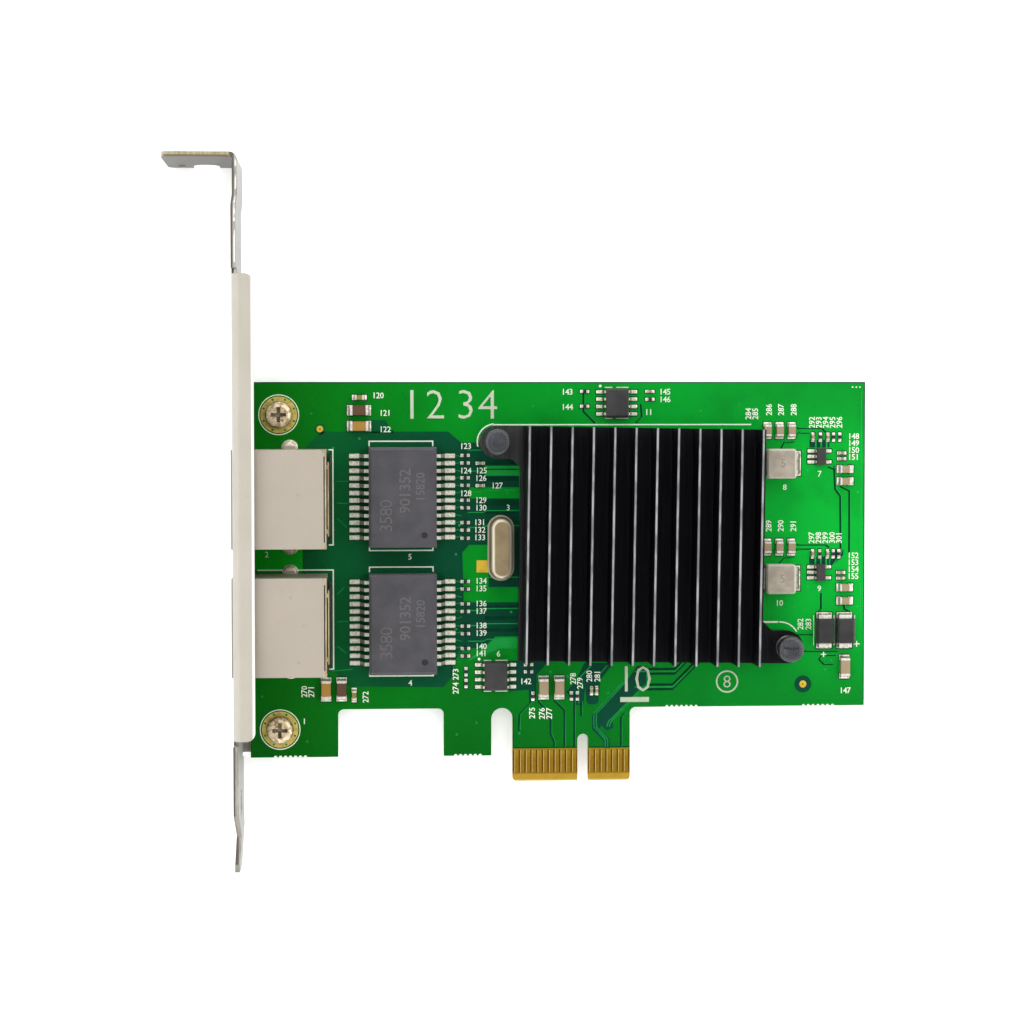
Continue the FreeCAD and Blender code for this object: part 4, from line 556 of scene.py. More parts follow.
def islands(node):
    """The separate solids of a CAD node, as (middle, size) pairs in millimetres."""
    work = bmesh.new()
    work.from_mesh(NODES[node].data)
    bmesh.ops.remove_doubles(work, verts=work.verts, dist=1e-6)
    left = set(work.verts)
    found = []
    while left:
        stack = [left.pop()]
        group = list(stack)
        while stack:
            for edge in stack.pop().link_edges:
                for vert in edge.verts:
                    if vert in left:
                        left.remove(vert)
                        stack.append(vert)
                        group.append(vert)
        low = Vector(min(v.co[a] for v in group) for a in range(3)) / MM
        high = Vector(max(v.co[a] for v in group) for a in range(3)) / MM
        found.append(((low + high) / 2, high - low))
    work.free()
    return sorted(found, key=lambda item: tuple(item[0]))


def scatter(name, shape, places, finish, variation=0.0, seed=1):
    """Copies of a shape at (point, turn, stretch, tone) places, as one plain mesh."""
    points = bpy.data.meshes.new(name)
    points.from_pydata([tuple(c * MM for c in place[0]) for place in places], [], [])
    for label, kind in (("turn", "FLOAT_VECTOR"), ("stretch", "FLOAT_VECTOR"), ("tone", "FLOAT")):
        points.attributes.new(label, kind, "POINT")
    turns, stretches, tones = (points.attributes[label].data for label in ("turn", "stretch", "tone"))
    for index, (_, turn, stretch, tone) in enumerate(places):
        turns[index].vector = turn
        stretches[index].vector = stretch
        tones[index].value = tone
    tree, keys = scatter_recipe()
    return grow(link(name, points), tree, keys,
                {"Shape": shape, "Finish": finish, "Size Variation": variation, "Seed": seed})


# ------------------------------------------------------------------ settings

class CardStudio(bpy.types.PropertyGroup):
    """Floor, lights and camera."""
    floor_colour: FloatVectorProperty(name="Floor", description="Colour of the studio floor",
                                      default=(0.95, 0.95, 0.95), subtype="COLOR")
    key_power: FloatProperty(name="Key light", description="Power of the large light on the right",
                             default=2.0, unit="POWER")
    fill_power: FloatProperty(name="Fill light", description="Power of the light on the left",
                              default=1.87, unit="POWER")
    top_power: FloatProperty(name="Top light", description="Power of the light beyond the card",
                             default=1.66, unit="POWER")
    lens: FloatProperty(name="Lens", description="Focal length of the camera, in millimetres",
                        default=86.23)


class CardBoard(bpy.types.PropertyGroup):
    """The board, its copper and its solder mask."""
    # The two mask colours are the ends of a painted fall of light, dark at the bracket and bright at the far
    # edge
    mask_near: FloatVectorProperty(name="Mask at the bracket", description="Solder mask over copper",
                                   default=(0.0, 0.155, 0.002), subtype="COLOR")
    mask_far: FloatVectorProperty(name="Mask at the far edge", description="Solder mask over copper",
                                  default=(0.0, 0.41, 0.032), subtype="COLOR")
    bare: FloatVectorProperty(name="Mask without copper", description="Solder mask over the laminate",
                              default=(0.0, 0.112, 0.024), subtype="COLOR")
    clearing: FloatVectorProperty(name="Clearing", description="Gap round a copper trace",
                                  default=(0.0, 0.026, 0.01), subtype="COLOR")
    laminate: FloatVectorProperty(name="Laminate", description="Cut edge of the board",
                                  default=(0.42, 0.44, 0.2), subtype="COLOR")
    trace: FloatProperty(name="Trace", description="Width of a fine copper trace",
                         default=0.2 * MM, unit="LENGTH")
    gap: FloatProperty(name="Gap", description="Width of the clearing round a trace",
                       default=0.42 * MM, unit="LENGTH")


class CardPrint(bpy.types.PropertyGroup):
    """The printed figures and outlines."""
    ink: FloatVectorProperty(name="Ink", description="Colour of the printing",
                             default=(0.86, 0.93, 0.78), subtype="COLOR")
    pale: FloatVectorProperty(name="Pale print", description="Colour of the large figures",
                              default=(0.5, 0.56, 0.42), subtype="COLOR")
    line: FloatProperty(name="Line", description="Width of a printed line",
                        default=0.22 * MM, unit="LENGTH")
    figure: FloatProperty(name="Figure", description="Height of a printed number",
                          default=1.0 * MM, unit="LENGTH")


class CardSolder(bpy.types.PropertyGroup):
    """Solder joints and the pads under them."""
    solder: FloatVectorProperty(name="Solder", description="Colour of the solder",
                                default=(0.98, 0.95, 0.78), subtype="COLOR")
    gold: FloatVectorProperty(name="Gold", description="Colour of the gold plating",
                              default=(0.86, 0.56, 0.05), subtype="COLOR")
    reach: FloatProperty(name="Reach", description="Solder past the end of a chip",
                         default=0.42 * MM, unit="LENGTH")
    seed: IntProperty(name="Seed", description="Seed of the small differences between joints",
                      default=7)


class CardMetal(bpy.types.PropertyGroup):
    """Bracket, shields and screws."""
    plate: FloatVectorProperty(name="Bracket", description="Colour of the plated bracket",
                               default=(0.52, 0.487, 0.415), subtype="COLOR")
    shield: FloatVectorProperty(name="Shield", description="Colour of the jack shields",
                                default=(0.49, 0.43, 0.36), subtype="COLOR")
    screw: FloatVectorProperty(name="Screws", description="Colour of the bracket screws",
                               default=(0.85, 0.68, 0.42), subtype="COLOR")


class CardSink(bpy.types.PropertyGroup):
    """Heat sink and push pins."""
    anodised: FloatVectorProperty(name="Anodised", description="Colour of the heat sink",
                                  default=(0.0025, 0.0025, 0.004), subtype="COLOR")
    # The crest colour is partly bare metal from wear and partly a painted highlight
    crest_wear_and_highlight: FloatVectorProperty(name="Fin edges", description="Colour of the cut fin edges",
                                default=(0.38, 0.38, 0.4), subtype="COLOR")
    pin: FloatVectorProperty(name="Push pins", description="Colour of the push pins",
                             default=(0.035, 0.037, 0.044), subtype="COLOR")


# ------------------------------------------------------------------ finishes

def board_mask():
    """Green mask over copper, pale laminate at the cut edges, and gold on the connector's tongue, with
    painted light between the jacks.
    """
    board = settings("card_board")
    f = Finish("board_mask")
    green = f.mix(f.mask_green_painted_shade(), (0.0, 0.1, 0.008), f.step(f.noise(9.0, 2.0), 0.45, 0.8, 0.0, 0.3))
    layers = f.noise(0.5, 2.0, (0.15, 0.15, 6.0))
    edge = f.mix(board.laminate, (0.2, 0.23, 0.07), layers)
    edge = f.mix(edge, (0.02, 0.12, 0.02), f.step(abs(f.z), FACE[1] - 0.3, FACE[1] - 0.1))
    flat = f.step(abs(f.facing(2)), 0.4, 0.7)
    grain = f.noise(0.35, 3.0)
    lower, upper = span("jack_lower_shield"), span("jack_upper_shield")
    # painted light: the green between the jacks is brightened against the shade of their walls
    painted_light_between_jacks = f.step(f.x, lower[1].x, lower[1].x + 0.8, 1.0, 0.0) \
        * f.step(f.y, lower[1].y - 0.2, lower[1].y + 0.2) \
        * f.step(f.y, upper[0].y - 0.2, upper[0].y + 0.2, 1.0, 0.0)
    green = f.mix(green, (0.0, 0.42, 0.01), painted_light_between_jacks * 0.85)
    colour = f.mix(edge, green, flat)
    drift = f.noise(1.8, 3.0)
    between = f.step(f.y, 1.3, 1.6) * f.step(f.y, 5.35, 5.5, 1.0, 0.0)
    plated = f.mix((0.42, 0.27, 0.03), (0.3, 0.17, 0.01), drift)
    plated = f.mix(plated, (0.13, 0.055, 0.002), between * flat)
    plated = f.mix(plated, (0.6, 0.46, 0.14), f.step(f.y, 0.1, 0.35, 0.7, 0.0))
    tongue = f.step(f.y, TONGUE_TOP - 0.03, TONGUE_TOP + 0.03, 1.0, 0.0)
    tongue = tongue * f.step(f.x, TONGUE_LEFT - 0.2, TONGUE_LEFT - 0.1)
    colour = f.mix(colour, plated, tongue)
    rough = f.step(grain, 0.2, 0.8, 0.26, 0.36) * flat + 0.7 * (1.0 - flat)
    weave = f.noise(0.6, 1.0, (1, 3, 1)) + f.noise(0.6, 1.0, (3, 1, 1))
    return f.surface(colour, rough + 0.06 * tongue, 0.4 * tongue, f.bump(weave, 0.02, 0.35),
                     Specular_IOR_Level=0.12)


def bare_mask():
    """Darker green where there is no copper under the mask."""
    board = settings("card_board")
    f = Finish("bare_mask")
    along = f.step(f.x, -48.0, -12.0)
    tone = f.mix(board.bare, (0.0, 0.5 * board.bare[1], 1.2 * board.bare[2]), along)
    weave = f.noise(0.5, 1.0, (1, 4, 1)) * 0.5 + f.noise(0.5, 1.0, (4, 1, 1)) * 0.5
    colour = f.mix(tone, (0.0, 0.04, 0.02), f.step(weave, 0.4, 0.7, 0.0, 0.3))
    return f.surface(colour, f.step(weave, 0.3, 0.7, 0.3, 0.4), 0.0, f.bump(weave, 0.01, 0.3),
                     Specular_IOR_Level=0.12)


def clearing_mask():
    """The dark gap between a trace and the copper round it."""
    board = settings("card_board")
    f = Finish("clearing_mask")
    cloud = f.noise(1.5, 2.0)
    colour = f.mix(board.clearing, tuple(2.2 * c for c in board.clearing), cloud)
    return f.surface(colour, f.step(cloud, 0.2, 0.8, 0.32, 0.42), Specular_IOR_Level=0.08)


def trace_mask():
    """Mask over a copper trace: a little brighter."""
    f = Finish("trace_mask")
    cloud = f.noise(3.0, 2.0)
    colour = f.mix(f.mask_green_painted_shade(), (0.02, 0.42, 0.1), f.step(cloud, 0.3, 0.8, 0.25, 0.5))
    return f.surface(colour, f.step(cloud, 0.2, 0.8, 0.24, 0.34), 0.0, f.bump(cloud, 0.01, 0.3),
                     Specular_IOR_Level=0.2)


def print_ink(name="print_ink", group="ink"):
    """Printed ink, slightly broken up by the mask under it."""
    f = Finish(name)
    ink = getattr(settings("card_print"), group)
    speck = f.noise(0.25, 3.0)
    colour = f.mix(ink, tuple(0.62 * c for c in ink), f.step(speck, 0.5, 0.85))
    return f.surface(colour, f.step(speck, 0.2, 0.8, 0.5, 0.65), 0.0, f.bump(speck, 0.01, 0.4))


def pale_ink():
    return print_ink("pale_ink", "pale")


def mark_ink():
    """Faint marking on a moulded body."""
    f = Finish("mark_ink")
    speck = f.noise(0.3, 3.0)
    colour = f.mix((0.085, 0.078, 0.084), (0.115, 0.105, 0.112), f.step(speck, 0.35, 0.75))
    return f.surface(colour, f.step(speck, 0.2, 0.8, 0.6, 0.75))


def core_mark():
    """Faint warm marking on the inductor cores."""
    f = Finish("core_mark")
    speck = f.noise(0.2, 3.0)
    colour = f.mix((0.25, 0.21, 0.17), (0.32, 0.27, 0.21), f.step(speck, 0.35, 0.75))
    return f.surface(colour, f.step(speck, 0.2, 0.8, 0.55, 0.7))


def gold():
    """Gold plating with a soft drift in its tone and fine handling marks."""
    tone = settings("card_solder").gold
    f = Finish("gold_plating")
    drift = f.noise(1.6, 2.0)
    marks = f.noise(0.4, 3.0, (6, 0.6, 1))
    colour = f.mix(tone, tuple(0.6 * c for c in tone), f.step(drift, 0.4, 0.75, 0.0, 0.6))
    return f.surface(colour, f.step(marks, 0.3, 0.8, 0.28, 0.48), 0.3, f.bump(marks, 0.004, 0.4))


def land_gold():
    """The lands under the screws: thin gold, dulled by flux."""
    f = Finish("land_gold")
    drift = f.noise(0.9, 3.0)
    colour = f.mix((0.72, 0.58, 0.15), (0.5, 0.38, 0.07), f.step(drift, 0.35, 0.7))
    return f.surface(colour, f.step(drift, 0.2, 0.8, 0.3, 0.5), 0.25, f.bump(drift, 0.01, 0.4))


def contact_plating():
    """Hard gold on the edge contacts: a painted highlight along one edge of each, paler at the upper end."""
    f = Finish("contact_plating")
    place = f.maths("FRACT", f.x - 0.14)
    # painted highlight along one edge of each contact
    rim = f.step(place, 0.03, 0.16, 1.0, 0.0)
    wipe = f.noise(0.35, 3.0, (5, 0.5, 1))
    up = f.step(f.y, 3.6, 5.3)
    colour = f.mix((0.3, 0.16, 0.001), (0.38, 0.24, 0.008), up)
    colour = f.mix(colour, (0.2, 0.1, 0.001), f.step(wipe, 0.4, 0.75, 0.0, 0.6))
    colour = f.mix(colour, (0.8, 0.62, 0.2), rim * 0.75)
    return f.surface(colour, f.step(wipe, 0.3, 0.8, 0.26, 0.42), 0.35, f.bump(wipe, 0.004, 0.4))


def solder():
    """Bright solder with a lightly frozen surface and painted shade on its steep sides."""
    tone = settings("card_solder").solder
    f = Finish("solder")
    frost = f.noise(0.22, 3.0)
    dull = f.noise(0.8, 2.0)
    colour = f.mix(tone, tuple(0.42 * c for c in tone), f.step(dull, 0.46, 0.66, 0.0, 0.75))
    # painted shade: the steep sides are darkened
    side = f.step(abs(f.facing(2)), 0.3, 0.85, 1.0, 0.0)
    colour = f.mix(colour, (0.09, 0.1, 0.07), side * 0.85)
    return f.surface(colour, f.step(frost, 0.25, 0.8, 0.2, 0.42), 0.3, f.bump(frost, 0.02, 0.5))


def flux_tin():
    """Solder browned by flux, round the jacks' pegs, with small painted glints."""
    f = Finish("flux_tin")
    cloud = f.noise(0.7, 3.0)
    colour = f.mix((0.78, 0.72, 0.58), (0.36, 0.24, 0.13), f.step(cloud, 0.42, 0.68))
    # painted glints: small near-white patches
    colour = f.mix(colour, (0.95, 0.92, 0.85), f.step(f.noise(0.35, 2.0), 0.55, 0.7))
    return f.surface(colour, f.step(cloud, 0.2, 0.8, 0.25, 0.45), 0.35, f.bump(cloud, 0.03, 0.5))


def bright_fold():
    """The folded rim of a shield: pale gold, drawn along its length."""
    f = Finish("bright_fold")
    drawn = f.noise(0.5, 3.0, (1, 0.15, 1))
    colour = f.mix((0.7, 0.6, 0.36), (0.34, 0.26, 0.12), f.step(drawn, 0.35, 0.7))
    return f.surface(colour, f.step(drawn, 0.2, 0.8, 0.25, 0.4), 0.4, f.bump(drawn, 0.01, 0.4))


def tin():
    """Tinned lead frame: bright where flat, with painted shade on its bends and sides."""
    f = Finish("tinned_lead")
    cloud = f.noise(0.5, 3.0)
    colour = f.mix((1.0, 0.98, 0.84), (0.5, 0.47, 0.32), f.step(cloud, 0.45, 0.65, 0.0, 0.65))
    # painted shade: faces turned away from straight up are darkened
    bend = f.step(abs(f.facing(2)), 0.6, 0.97, 1.0, 0.0)
    colour = f.mix(colour, (0.07, 0.07, 0.045), bend * 0.9)
    return f.surface(colour, f.step(cloud, 0.2, 0.8, 0.24, 0.42), 0.3, f.bump(cloud, 0.015, 0.4))


def chip_ceramic():
    """Multilayer chips: ceramic in the middle, dull tin on the end caps, with painted shade on the caps'
    sides.
    """
    f = Finish("chip_ceramic")
    capped = f.attribute("tin")
    tone = f.attribute("tone")
    body = f.bands(tone, [(0.0, (0.34, 0.25, 0.15)), (0.2, (0.1, 0.036, 0.015)),
                          (0.5, (0.38, 0.19, 0.025)), (0.8, (0.24, 0.2, 0.03))])
    speck = f.noise(0.12, 2.0)
    body = f.mix(body, (0.5, 0.4, 0.27), f.step(speck, 0.55, 0.85, 0.0, 0.2))
    cap = f.mix((0.88, 0.86, 0.78), (0.6, 0.57, 0.47), f.step(f.noise(0.35, 2.0), 0.3, 0.75))
    # painted shade on the sides of the end caps
    cap = f.mix(cap, (0.3, 0.29, 0.22), f.step(abs(f.facing(2)), 0.25, 0.6, 0.7, 0.0))
    colour = f.mix(body, cap, capped)
    grain = f.noise(0.16, 2.0)
    rough = f.step(grain, 0.2, 0.8, 0.42, 0.55) - 0.12 * capped
    return f.surface(colour, rough, capped * 0.25, f.bump(grain, 0.01, 0.4))


def chip_resistor():
    """Thick-film chips: black glass on top, tin at the ends."""
    f = Finish("chip_resistor")
    capped = f.attribute("tin")
    speck = f.noise(0.15, 2.0)
    glass = f.mix((0.012, 0.012, 0.014), (0.05, 0.05, 0.055), f.step(speck, 0.4, 0.8))
    cap = f.mix((0.88, 0.87, 0.8), (0.62, 0.6, 0.52), speck)
    colour = f.mix(glass, cap, capped)
    return f.surface(colour, f.step(speck, 0.2, 0.8, 0.25, 0.4), capped * 0.25,
                     f.bump(speck, 0.008, 0.4))


def moulding(name, dark, light, low=0.5, high=0.66, grain=0.16, top=None):
    """Moulded packages: fine matt grain, a soft mottle, a painted sheen on the upper sides, and painted
    shade in the dimple under the top.
    """
    f = Finish(name)
    fine = f.noise(grain, 3.0)
    broad = f.noise(3.5, 2.0)
    colour = f.mix(dark, light, f.step(broad * 0.6 + fine * 0.4, 0.32, 0.68))
    # painted sheen: the upper sides are lightened
    edge = f.step(abs(f.facing(2)), 0.3, 0.95, 0.55, 0.0)
    colour = f.mix(colour, tuple(2.2 * c for c in light), edge * f.step(f.z, 1.2, 2.0))
    if top:
        sunk = f.step(f.z, top - 0.08, top - 0.02, 1.0, 0.0) * f.step(f.facing(2), 0.9, 0.99)
        colour = f.mix(colour, tuple(0.25 * c for c in dark), sunk * 0.85)
    return f.surface(colour, f.step(fine, 0.25, 0.75, low, high), 0.0, f.bump(fine, 0.02, 0.5),
                     Specular_IOR_Level=0.35)


def package_black():
    return moulding("package_black", (0.024, 0.023, 0.024), (0.046, 0.044, 0.043))


def transformer_grey():
    return moulding("transformer_grey", (0.048, 0.046, 0.052), (0.07, 0.067, 0.075), 0.6, 0.75, 0.3,
                    span("transformer_upper_body")[1].z)


def diode_black():
    return moulding("diode_black", (0.016, 0.016, 0.017), (0.034, 0.034, 0.035))


def housing_black():
    return moulding("housing_black", (0.008, 0.008, 0.009), (0.02, 0.02, 0.021), 0.38, 0.55)


def ferrite():
    """Pressed powder cores, warm grey with fine pits and a paler rim of painted highlight."""
    f = Finish("ferrite")
    pits = f.cells(0.35)
    fine = f.noise(0.2, 3.0)
    wide = f.noise(2.2, 2.0)
    colour = f.mix((0.33, 0.285, 0.225), (0.45, 0.4, 0.325), f.step(wide, 0.3, 0.7))
    colour = f.mix(colour, (0.22, 0.18, 0.14), f.step(pits, 0.0, 0.22, 0.4, 0.0))
    rims = []
    for name in ("lower", "upper"):
        low, high = span(f"inductor_{name}_core")
        half = (high - low) / 2
        across = abs(f.x - (low.x + high.x) / 2) / half.x
        along = abs(f.y - (low.y + high.y) / 2) / half.y
        rims.append(across.most(along))
    # painted highlight: a paler band near the edges of each core
    rim = f.step(rims[0].least(rims[1]), 0.84, 0.92)
    colour = f.mix(colour, (0.62, 0.58, 0.5), rim * f.step(fine, 0.25, 0.6, 0.45, 0.95))
    return f.surface(colour, f.step(fine, 0.2, 0.8, 0.5, 0.66), 0.1, f.bump(pits + fine, 0.02, 0.5))


def shield_metal():
    """Drawn shields: faint rolling lines, a soft drift, small handling marks and painted shade on their
    upright sides.
    """
    tone = settings("card_metal").shield
    shade = (0.42, 0.38, 0.31)
    f = Finish("shield_metal")
    rolled = f.noise(0.35, 3.0, (5, 0.3, 5))
    drift = f.noise(12.0, 2.0)
    marks = f.step(f.noise(1.2, 4.0), 0.66, 0.78)
    colour = f.mix(tone, shade, f.step(drift, 0.3, 0.75, 0.0, 0.6))
    colour = f.mix(colour, tuple(0.8 * c for c in tone), f.step(rolled, 0.45, 0.85, 0.0, 0.3))
    colour = f.mix(colour, tuple(0.55 * c for c in tone), marks * 0.35)
    # painted shade: upright faces are darkened
    upright = f.step(abs(f.facing(2)), 0.3, 0.8, 1.0, 0.0)
    colour = f.mix(colour, tuple(0.9 * c for c in shade), upright * 0.5)
    return f.surface(colour, f.step(rolled, 0.25, 0.8, 0.32, 0.46) + marks * 0.1, 0.3,
                     f.bump(rolled, 0.006, 0.35))


def bracket_plate():
    """Nickel-plated sheet with sheared edges, brown in their middle; faces painted lighter or darker by
    which way they face, a painted highlight along the burrs, a painted dark reflection at the edges' outer
    side and a painted highlight along the flange's free edge.
    """
    tone = settings("card_metal").plate
    low, high = span("bracket")
    f = Finish("bracket_plate")
    rolled = f.noise(0.35, 3.0, (5, 0.2, 5))
    drift = f.noise(14.0, 2.0)
    marks = f.step(f.noise(1.2, 4.0), 0.66, 0.78)
    colour = f.mix(tone, tuple(0.9 * c for c in tone), f.step(drift, 0.3, 0.75))
    colour = f.mix(colour, tuple(0.72 * c for c in tone), f.step(rolled, 0.45, 0.85, 0.0, 0.3))
    colour = f.mix(colour, tuple(0.55 * c for c in tone), marks * 0.3)
    # painted light and shade: inner, outer and lower faces each get their own lit or shaded copy of the tone
    inner = f.step(f.facing(0), 0.5, 0.9)
    colour = f.mix(colour, (0.34, 0.34, 0.335), inner * 0.9)
    outer = f.step(f.facing(0), -0.9, -0.5, 1.0, 0.0)
    colour = f.mix(colour, (0.5, 0.49, 0.46), outer * 0.7)
    under = f.step(f.facing(1), -0.9, -0.5, 1.0, 0.0)
    colour = f.mix(colour, (0.085, 0.082, 0.072), under * 0.92)
    up = f.step(f.facing(2), 0.6, 0.9)
    bare = f.step(f.y, FLANGE_ENDS[0] - 0.2, FLANGE_ENDS[0], 1.0, 0.0) \
        + f.step(f.y, FLANGE_ENDS[1], FLANGE_ENDS[1] + 0.2)
    jog = 0.25 * f.step(f.y, high.y - 8.8, high.y - 6.9) + 0.3 * f.step(f.y, -6.9, -3.3, 1.0, 0.0)
    stem_left = low.x + TAB_LENGTH
    across = (f.x - stem_left - jog) / SHEET
    tab = (f.step(f.y, high.y - SHEET - 0.3, high.y - SHEET)
           * f.step(f.x, stem_left - 0.3, stem_left, 1.0, 0.0))
    across = across + tab * ((high.y - f.y) / SHEET - across)
    streak = f.noise(0.7, 4.0, (4, 0.25, 4))
    above = f.step(f.y, FLANGE_ENDS[0], FLANGE_ENDS[1])
    shear = f.mix((0.42, 0.41, 0.38), (0.24, 0.2, 0.16), f.step(streak, 0.35, 0.65))
    # painted highlight along the burr of each sheared edge
    burr_highlight = f.step(across, 0.5, 0.6) * f.step(across, 0.78, 0.9, 1.0, 0.0) * above
    burr_highlight = burr_highlight * f.step(f.noise(1.4, 3.0, (1, 0.6, 1)), 0.42, 0.52, 0.1, 1.0)
    shear = f.mix(shear, (0.92, 0.9, 0.86), burr_highlight)
    # painted dark reflection along the outer side of each sheared edge
    shear = f.mix(shear, (0.05, 0.04, 0.035), f.step(across, 0.3, 0.45, 0.92, 0.0))
    cut = f.mix((0.4, 0.4, 0.22), (0.26, 0.23, 0.11), f.step(streak, 0.4, 0.65))
    cut = f.mix(cut, (0.17, 0.1, 0.05), f.step(across, 0.52, 0.66))
    shear = f.mix(shear, cut, tab)
    colour = f.mix(colour, shear, up * bare * 0.92)
    # painted highlight along the flange's free edge
    rim = stem_left + FLANGE_REACH
    raised = f.step(f.z, high.z - 1.5, high.z - 0.5) * f.step(f.x, rim - 0.5, rim - 0.36)
    colour = f.mix(colour, (0.95, 0.95, 0.92), up * raised * (1.0 - bare) * 0.85)
    rough = f.step(rolled, 0.25, 0.8, 0.42, 0.56) + marks * 0.1
    return f.surface(colour, rough, 0.28, f.bump(rolled, 0.006, 0.35))


def screw_steel():
    """Yellow-passivated screws with brown blotches, painted glints over the scuffs on their heads, and
    painted shade on their sloping sides and in the recess.
    """
    tone = settings("card_metal").screw
    f = Finish("screw_steel")
    scuffs_and_glints = f.noise(0.5, 4.0)
    wash = f.noise(0.9, 2.0)
    # painted shade: the low parts, the recess among them, are darkened
    deep = f.step(f.z, 1.5, 2.2, 1.0, 0.0)
    colour = f.mix(tone, (0.3, 0.17, 0.07), f.step(wash, 0.46, 0.6, 0.0, 0.8))
    # painted glints over the scuffs
    colour = f.mix(colour, (1.0, 0.9, 0.68), f.step(scuffs_and_glints, 0.54, 0.6, 0.0, 0.9))
    # painted shade on the sloping sides
    slope = f.step(abs(f.facing(2)), 0.35, 0.8, 1.0, 0.0)
    colour = f.mix(colour, (0.2, 0.12, 0.05), slope * 0.6)
    colour = f.mix(colour, (0.05, 0.03, 0.02), deep * 0.5)
    return f.surface(colour, f.step(scuffs_and_glints, 0.2, 0.8, 0.12, 0.3), 0.3, f.bump(scuffs_and_glints, 0.05, 0.6))


def crystal_metal():
    """Satin tin on the crystal can: a painted highlight round its top and a dark seam at the flange."""
    f = Finish("crystal_metal")
    low, high = span("crystal_can")
    half = (high.x - low.x) / 2
    reach = (high.y - low.y) / 2 - half
    past = (abs(f.y - (low.y + high.y) / 2) - reach).most(0.0)
    off = f.x - (low.x + high.x) / 2
    away = f.maths("SQRT", off * off + past * past) / half
    satin = f.noise(0.3, 3.0, (1, 0.25, 1))
    wide = f.noise(3.0, 2.0)
    colour = f.mix((0.38, 0.29, 0.16), (0.29, 0.22, 0.12), f.step(wide, 0.3, 0.7))
    # painted highlight: a pale ring round the can's top
    rim = f.step(away, 0.52, 0.62) * f.step(away, 0.72, 0.8, 1.0, 0.0)
    colour = f.mix(colour, (0.8, 0.74, 0.6), rim * 0.8)
    colour = f.mix(colour, (0.07, 0.06, 0.03), f.step(away, 0.79, 0.82) * f.step(away, 0.85, 0.88, 1.0, 0.0))
    colour = f.mix(colour, (0.56, 0.5, 0.38), f.step(away, 0.86, 0.9) * 0.8)
    return f.surface(colour, f.step(satin, 0.25, 0.8, 0.3, 0.46), 0.35, f.bump(satin, 0.008, 0.4))


def anodised_black():
    """Black anodised fins with drawn streaks, a bright line along every crest that is partly bare metal from
    wear and partly a painted highlight, and a painted sheen on the base left of the first fin.
    """
    sink = settings("card_sink")
    f = Finish("anodised_black")
    drawn = f.noise(0.5, 3.0, (2.2, 0.05, 0.4))
    tip = span("heat_sink")[1].z
    centre = middle("heat_sink")
    turn = math.radians(SINK_TURN)
    across = (f.x - centre.x) * math.cos(turn) + (f.y - centre.y) * math.sin(turn)
    place = abs(f.maths("FRACT", (across - SINK_FIRST) / SINK_PITCH + 0.5) - 0.5) * SINK_PITCH
    crown = f.step(f.z, tip - 0.12, tip - 0.02) * f.step(f.facing(2), 0.5, 0.9)
    line = f.step(place, 0.1, 0.2, 1.0, 0.25)
    colour = f.mix(sink.anodised, (0.008, 0.008, 0.012), f.step(drawn, 0.35, 0.75))
    # painted sheen: the base left of the first fin is lightened
    left = f.step(across, SINK_FIRST - 1.5, SINK_FIRST - 0.1, 1.0, 0.0) * f.step(f.z, 2.7, 5.0)
    colour = f.mix(colour, (0.05, 0.052, 0.05), left * f.step(drawn, 0.2, 0.7, 0.4, 1.0))
    # the crest line is partly wear and partly a painted highlight
    wear_and_glint = f.step(f.noise(1.0, 3.0, (1, 0.25, 1)), 0.35, 0.65, 0.45, 1.0)
    colour = f.mix(colour, sink.crest_wear_and_highlight, crown * line * wear_and_glint)
    return f.surface(colour, f.step(drawn, 0.2, 0.8, 0.34, 0.5), 0.1, f.bump(drawn, 0.02, 0.3),
                     Specular_IOR_Level=0.15)


def pin_nylon():
    """Moulded nylon, softly polished, with a painted highlight near the crown."""
    tone = settings("card_sink").pin
    f = Finish("pin_nylon")
    fine = f.noise(0.25, 3.0)
    wide = f.noise(1.8, 2.0)
    colour = f.mix(tone, tuple(0.5 * c for c in tone), f.step(wide, 0.35, 0.7))
    crest = span("push_pin_upper")[1].z
    # painted highlight near the crown
    gleam = f.step(wide, 0.3, 0.8) * f.step(f.z, crest - 0.4, crest - 0.1)
    colour = f.mix(colour, (0.07, 0.073, 0.084), gleam)
    return f.surface(colour, f.step(fine, 0.2, 0.8, 0.22, 0.36), 0.0, f.bump(fine, 0.015, 0.4))


def spring_wire():
    """Drawn steel wire."""
    f = Finish("spring_wire")
    drawn = f.noise(0.15, 3.0)
    colour = f.mix((0.36, 0.35, 0.34), (0.58, 0.57, 0.55), drawn)
    return f.surface(colour, f.step(drawn, 0.2, 0.8, 0.22, 0.38), 0.85)


def contact_gold():
    """Gold on the jacks' spring wires, tin on their tails."""
    f = Finish("contact_gold")
    low = f.step(f.z, FACE[1] + 0.2, FACE[1] + 1.2)
    cloud = f.noise(0.5, 2.0)
    gold_tone = f.mix((0.72, 0.46, 0.1), (0.55, 0.33, 0.06), cloud)
    tin_tone = f.mix((0.72, 0.7, 0.62), (0.5, 0.48, 0.4), cloud)
    return f.surface(f.mix(tin_tone, gold_tone, low), f.step(cloud, 0.2, 0.8, 0.18, 0.32), 0.85)


def light_guide(name, tone, core):
    """A moulded light guide: milky plastic with a deeper colour inside."""
    f = Finish(name)
    cloud = f.noise(0.8, 2.0)
    rim = f.noise(0.3, 2.0)
    colour = f.mix(tone, core, f.step(cloud, 0.35, 0.7))
    return f.surface(colour, f.step(rim, 0.2, 0.8, 0.2, 0.34), 0.0, f.bump(rim, 0.01, 0.3),
                     Subsurface_Weight=0.25, Subsurface_Scale=0.002)


def thermal_pad():
    return moulding("thermal_pad", (0.2, 0.21, 0.24), (0.27, 0.28, 0.31), 0.7, 0.85, 0.4)


